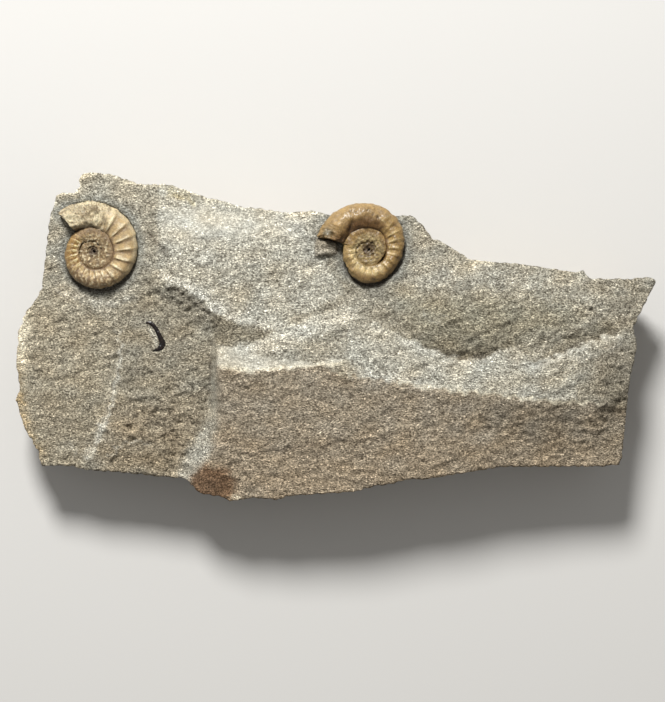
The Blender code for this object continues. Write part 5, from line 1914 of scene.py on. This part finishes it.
def weather_right(points, normals, angle, rib, across, radius, rng):
    """Moved points, their colours and their gloss."""
    small = solid_noise(points, 0.55, rng)
    beads = solid_noise(points, 0.8, rng)
    lumps = solid_noise(points, 1.6, rng)
    large = solid_noise(points, 2.8, rng)
    middle = 1 - ramp(radius, 3.2, 4.3)
    last = (angle > end_angle(RIGHT_SHELL) - 150).astype(float)
    end = ramp(angle, 503, 520)
    waist = spot(points, *WAIST) * last
    window = spot(points, *SMOKY_WINDOW) * last
    lump = spot(points, *WAXY_LUMP) * last
    bruise = spot(points, *BRUISE) * last
    chips = spots(points, CHIPS) * last
    scratches = spots(points, SCRATCHES) * last
    push = 0.06 * large + 0.05 * lumps + 0.02 * small
    push += middle * (0.05 * beads - 0.03 * ramp(small, 0.6, 1.6))
    push += 0.35 * lump - 0.45 * waist - 0.25 * window - 0.5 * end * np.maximum(lumps, 0)
    push += 0.04 * bruise * small + 0.05 * end * small
    moved = points + normals * push[:, None]
    moved[:, 2] -= 0.22 * chips
    ribbed = ramp(angle, 318, 335) * (1 - ramp(angle, 408, 420))
    top = ramp(angle, 400, 430)
    early = ramp(angle, 165, 180) * (1 - ramp(angle, 270, 330))
    belly = ramp(angle, 225, 260) * (1 - ramp(angle, 330, 400)) * ramp(across, 0.4, 0.7)
    # Painted shade along the seams, deepest under the top whorl.
    seam = 1 - ramp(across, 0.02, 0.10 + 0.06 * top)
    seam_line = np.exp(-((across - 0.17) / 0.03) ** 2) * (radius < 5.0) * (radius > 2.4)
    colours = layers(shade_by(rib * 1.1, HONEY, HONEY_YELLOW, HONEY_LIGHT), (
        # Painted shade in the grooves of the ribbed part, and painted glints on its crests.
        (HONEY_DEEP, 0.35 * ribbed * (1 - ramp(rib, 0.1, 0.4))),
        (RIB_LIGHT, (0.7 + 0.3 * ribbed) * ramp(rib, 0.55, 0.88)),
        (HONEY_YELLOW, 0.6 * ramp(large + 0.6 * lumps, 0.3, 1.6)),
        (HONEY_LIGHT, 0.6 * ramp(across, 0.72, 0.95)),
        (HONEY_DEEP, 0.4 * ramp(lumps + 0.5 * small, 0.2, 1.8)),
        (HONEY_DEEP, 0.55 * bruise * (0.8 + 0.3 * small)),
        (HONEY_YELLOW, 0.6 * last * spot(points, *YELLOW_PATCH)),
        # Top whorl: painted light on its outer part, painted shade on its inner part.
        (HONEY_LIGHT, 0.45 * top * ramp(across, 0.3, 0.6)),
        (HONEY_DEEP, 0.8 * top * (1 - ramp(across, 0.22, 0.6))),
        (OLD_GOLD, 0.75 * middle),
        (RIB_LIGHT, 0.5 * middle * ramp(beads + 0.4 * small, 0.5, 1.7)),
        (HONEY_DEEP, 0.55 * middle * ramp(-beads, 0.3, 1.4)),
        (OLD_GOLD * 1.35, 0.6 * early * (1 - ramp(across, 0.35, 0.7))),
        (RIB_LIGHT, early * (0.2 + 0.8 * ramp(rib, 0.25, 0.5))),
        (HONEY_DEEP, 0.3 * belly),
        (SMOKE, 0.9 * window),
        (HONEY_LIGHT, 0.65 * lump),
        (SEAM_BROWN, 0.6 * waist),
        # Painted shade in the seams.
        (SEAM_BROWN, seam * (0.35 + 0.5 * top - 0.3 * middle)),
        (CREST_CREAM, 0.45 * seam_line),
        (SEAM_BROWN, 0.8 * chips),
        (CREST_CREAM, 0.6 * scratches),
        (SEAM_BROWN * 0.9, 0.75 * (1 - ramp(radius, 0.9, 2.2))),
    ))
    colours = colours * RIGHT_TONE
    gloss = np.clip(0.75 + 0.12 * large - 0.3 * middle - 0.25 * end - 0.2 * bruise, 0, 1)
    return moved, colours, gloss


print("the right shell ends at", end_angle(RIGHT_SHELL), "degrees, broken off unevenly")

# %% [markdown]
# ## The material of the shells
# Calcite lets light in a little way, so a touch of subsurface scattering softens the grooves.
# The polished parts are glossy and the crust is not, which the stored gloss value decides.

# %% Calcite
COATS = {"golden_calcite": 0.05, "amber_calcite": 0.18}
CALCITE_GRAIN = 0.22
CALCITE_CLOUD = 1.1
CALCITE_CRACK = 0.7
CALCITE_BUMP = 0.09
SCATTER_REACH = (0.0010, 0.0006, 0.0003)


def calcite(name):
    """Satin stone with a coat, clouds and fine cracks, coloured point by point."""
    material, tree, shader = new_material(name, 0.45)
    place = object_place(tree)
    fine = noise(tree, place, CALCITE_GRAIN, 3.0, 0.65)
    cloud = noise(tree, place, CALCITE_CLOUD, 3.0, 0.65)
    crack = noise(tree, place, CALCITE_CRACK, 1.0, 0.5, 2.0)
    crack = folded(crack).ramp(0.0, 0.07)
    tint = attribute(tree, "shell_tint").outputs["Color"]
    tone = fine.ramp(0.3, 0.7, 0.66, 1.36) * cloud.ramp(0.3, 0.7, 0.82, 1.16)
    tone = tone * crack.ramp(0.0, 1.0, 0.74, 1.02)
    tree.links.new(scaled(tree, tint, tone), shader.inputs["Base Color"])
    gloss = Wire(tree, attribute(tree, "gloss").outputs["Fac"])
    rough = (gloss * -0.40 + 0.74) + cloud.ramp(0.3, 0.7, -0.10, 0.12)
    tree.links.new(rough.socket, shader.inputs["Roughness"])
    shader.inputs["Subsurface Weight"].default_value = 0.10
    shader.inputs["Subsurface Radius"].default_value = SCATTER_REACH
    shader.inputs["Subsurface Scale"].default_value = 1.0
    shader.inputs["Coat Weight"].default_value = COATS[name]
    shader.inputs["Coat Roughness"].default_value = 0.2
    add_bump(tree, shader, fine + cloud * 0.7 + crack * 0.3, CALCITE_BUMP, 0.9)
    return material


print("coat weights:", COATS)

# %% Grow, wear and place the shells
INNER_FLATNESS = 0.76
FOOT_FLATNESS = 0.55


def flatten_inner_whorls(shell, points, angle, across):
    """Fill the seams, above all of the whorls in the middle, which lie almost flush."""
    half = shell["half_width"] * shell["growth"] ** ((angle - end_angle(shell)) / WIDTH_TURN)
    inner = 1 - ramp(angle, end_angle(shell) - 400, end_angle(shell) - 350)
    foot = (1 - ramp(angle, 380, 420)) * (1 - ramp(across, 0.03, 0.3))
    flatness = np.maximum(INNER_FLATNESS * inner, FOOT_FLATNESS * foot)
    rise = np.clip(np.abs(points[:, 2]) / half, 1e-3, 1)
    points[:, 2] = np.sign(points[:, 2]) * half * rise ** (1 - flatness)


def finish_shell(shell, material, weather, seed):
    """Grow, wear, lean and place one shell."""
    mesh = grow_shell(shell, material, seed)
    points = read_points(mesh)
    stored = [mesh.attributes[name].data for name in SHELL_READINGS]
    angle, rib, across = (read_floats(data, "value", 1)[:, 0] for data in stored)
    flatten_inner_whorls(shell, points, angle, across)
    radius = np.hypot(points[:, 0], points[:, 1])
    rng = np.random.default_rng(seed)
    normals = read_floats(mesh.vertex_normals, "vector", 3)
    normals *= np.sign((normals[:, 2] * points[:, 2]).sum())
    moved, colours, gloss = weather(points, normals, angle, rib, across, radius, rng)
    moved[:, 2] += rise_at(shell, moved[:, 0], moved[:, 1])
    moved += np.array(shell["centre"])
    mesh.vertices.foreach_set("co", (moved * MM).astype(np.float32).ravel())
    for name in SHELL_READINGS:
        mesh.attributes.remove(mesh.attributes[name])
    mesh.shade_smooth()
    add_colour(mesh, "shell_tint", np.clip(colours, 0, 1))
    add_value(mesh, "gloss", gloss)
    mesh.update()
    return mesh


left_mesh = finish_shell(LEFT_SHELL, calcite("golden_calcite"), weather_left, 31)
add_piece("golden_ammonite", left_mesh, "ammonite_left")
right_mesh = finish_shell(RIGHT_SHELL, calcite("amber_calcite"), weather_right, 32)
add_piece("amber_ammonite", right_mesh, "ammonite_right")

# %% [markdown]
# ## The black sliver
# A thin piece of black shell lies in the rock like a bent comma. It has a rounded, glossy back
# and ends in two thin points. A strip with a half-round section follows its middle line.

# %% Shape the sliver
SLIVER_ROWS = 9
SLIVER_STEP = 0.14
SLIVER_RISE = 0.30
SLIVER_ROOT = 0.9
SLIVER_SEED = 5
SLIVER_FULL_WIDTH = 0.9


def smooth_line(points, step):
    """A smooth curve through points, at an even step."""
    spots = np.array(points, float)
    at = distances(spots[:, :2])
    fine = np.linspace(0, at[-1], int(at[-1] / step) + 1)
    return np.stack([smooth_stations(list(zip(at, spots[:, n])), fine) for n in range(3)], axis=1)


def sliver_arrays():
    """All points of the sliver, and its faces."""
    line = smooth_line(SLIVER_LINE, SLIVER_STEP)
    run = np.gradient(line[:, :2], axis=0)
    side = np.stack([-run[:, 1], run[:, 0]], axis=1)
    side /= np.hypot(*side.T)[:, None]
    chance = np.random.default_rng(SLIVER_SEED)
    width = line[:, 2:3] * (1 + 0.05 * chance.standard_normal((len(line), 1)))
    points = []
    for row in range(SLIVER_ROWS):
        turn = math.pi * row / (SLIVER_ROWS - 1)
        xy = line[:, :2] + side * (width / 2 * math.cos(turn))
        full = np.minimum(1, line[:, 2] / SLIVER_FULL_WIDTH)
        rise = SLIVER_RISE * full * math.sin(turn) ** 0.6
        rise = rise * (1 + 0.12 * chance.standard_normal(len(line)))
        points.append(np.column_stack([xy, SLIVER_TOP - 0.05 + rise]))
    for share in (-0.8, 0.8):
        xy = line[:, :2] + side * (width / 2 * share)
        points.append(np.column_stack([xy, np.full(len(xy), SLIVER_TOP - SLIVER_ROOT)]))
    stack = np.stack(points, axis=1)
    rows = stack.shape[1]
    numbers = np.arange(stack.shape[0] * rows).reshape(-1, rows)
    faces = [tuple(numbers[0][::-1].tolist()), tuple(numbers[-1].tolist())]
    for near, far in zip(numbers.tolist(), numbers[1:].tolist()):
        for row in range(rows):
            after = (row + 1) % rows
            faces.append((near[row], near[after], far[after], far[row]))
    return stack.reshape(-1, 3), faces


print("the sliver is", round(distances(np.array(SLIVER_LINE)[:, :2])[-1], 1), "mm long")

# %% Finish of the sliver, and its place
SLIVER_BLACK = srgb(18, 14, 13)
SLIVER_BROWN = srgb(70, 46, 32)


def black_shell():
    """Glossy black with brown streaks."""
    material, tree, shader = new_material("black_shell", 0.25)
    streak = noise(tree, object_place(tree), 0.5, 3.0, 0.6)
    colour = mixed(tree, streak.ramp(0.5, 0.75) * 0.6, SLIVER_BLACK, SLIVER_BROWN)
    tree.links.new(colour, shader.inputs["Base Color"])
    add_bump(tree, shader, streak, 0.08, 0.9)
    return material


sliver_points, sliver_faces = sliver_arrays()
sliver_mesh = bpy.data.meshes.new("black_sliver")
sliver_mesh.from_pydata((sliver_points * MM).tolist(), [], sliver_faces)
sliver_mesh.shade_smooth()
sliver_mesh.materials.append(black_shell())
add_piece("black_sliver", sliver_mesh, "black_shell_sliver")

# %% [markdown]
# ## Floor and light
# The slab lies on a plain pale floor. One large soft lamp stands beyond its upper edge and a
# little to the left, so every face that leans that way is bright and every step throws a
# short soft shadow. The pale surroundings fill the shadows.

# %% Floor, lamp and surroundings
KEY_DIRECTION = (-0.18, 0.76, 0.68)
KEY_DISTANCE = 0.9
KEY_SIZE = 0.26
KEY_POWER = 12.8
KEY_COLOUR = (1.0, 0.995, 0.98)
SURROUND_STRENGTH = 0.30
SURROUND_COLOUR = (1.0, 0.985, 0.955, 1.0)
FLOOR_SIZE = 6.0
FLOOR_COLOUR = (0.60, 0.59, 0.57, 1.0)


def add_floor():
    mesh = bpy.data.meshes.new("floor")
    half = FLOOR_SIZE / 2
    corners = [(-half, -half, 0), (half, -half, 0), (half, half, 0), (-half, half, 0)]
    mesh.from_pydata(corners, [], [(0, 1, 2, 3)])
    material, _, shader = new_material("pale_floor", 0.85)
    shader.inputs["Base Color"].default_value = FLOOR_COLOUR
    mesh.materials.append(material)
    floor = bpy.data.objects.new("floor", mesh)
    scene.collection.objects.link(floor)


def add_lamp():
    light = bpy.data.lights.new("key_light", "AREA")
    light.shape = "DISK"
    light.size = KEY_SIZE
    light.energy = KEY_POWER
    light.color = KEY_COLOUR
    lamp = bpy.data.objects.new("key_light", light)
    towards = Vector(KEY_DIRECTION).normalized()
    lamp.location = towards * KEY_DISTANCE
    lamp.rotation_euler = towards.to_track_quat("Z", "Y").to_euler()
    scene.collection.objects.link(lamp)


def add_surroundings():
    world = bpy.data.worlds.new("surroundings")
    world.use_nodes = True
    background = world.node_tree.nodes["Background"]
    background.inputs["Color"].default_value = SURROUND_COLOUR
    background.inputs["Strength"].default_value = SURROUND_STRENGTH
    scene.world = world


add_floor()
add_lamp()
add_surroundings()
scene.view_settings.view_transform = "Standard"
print("lamp stands", KEY_DISTANCE, "m away")
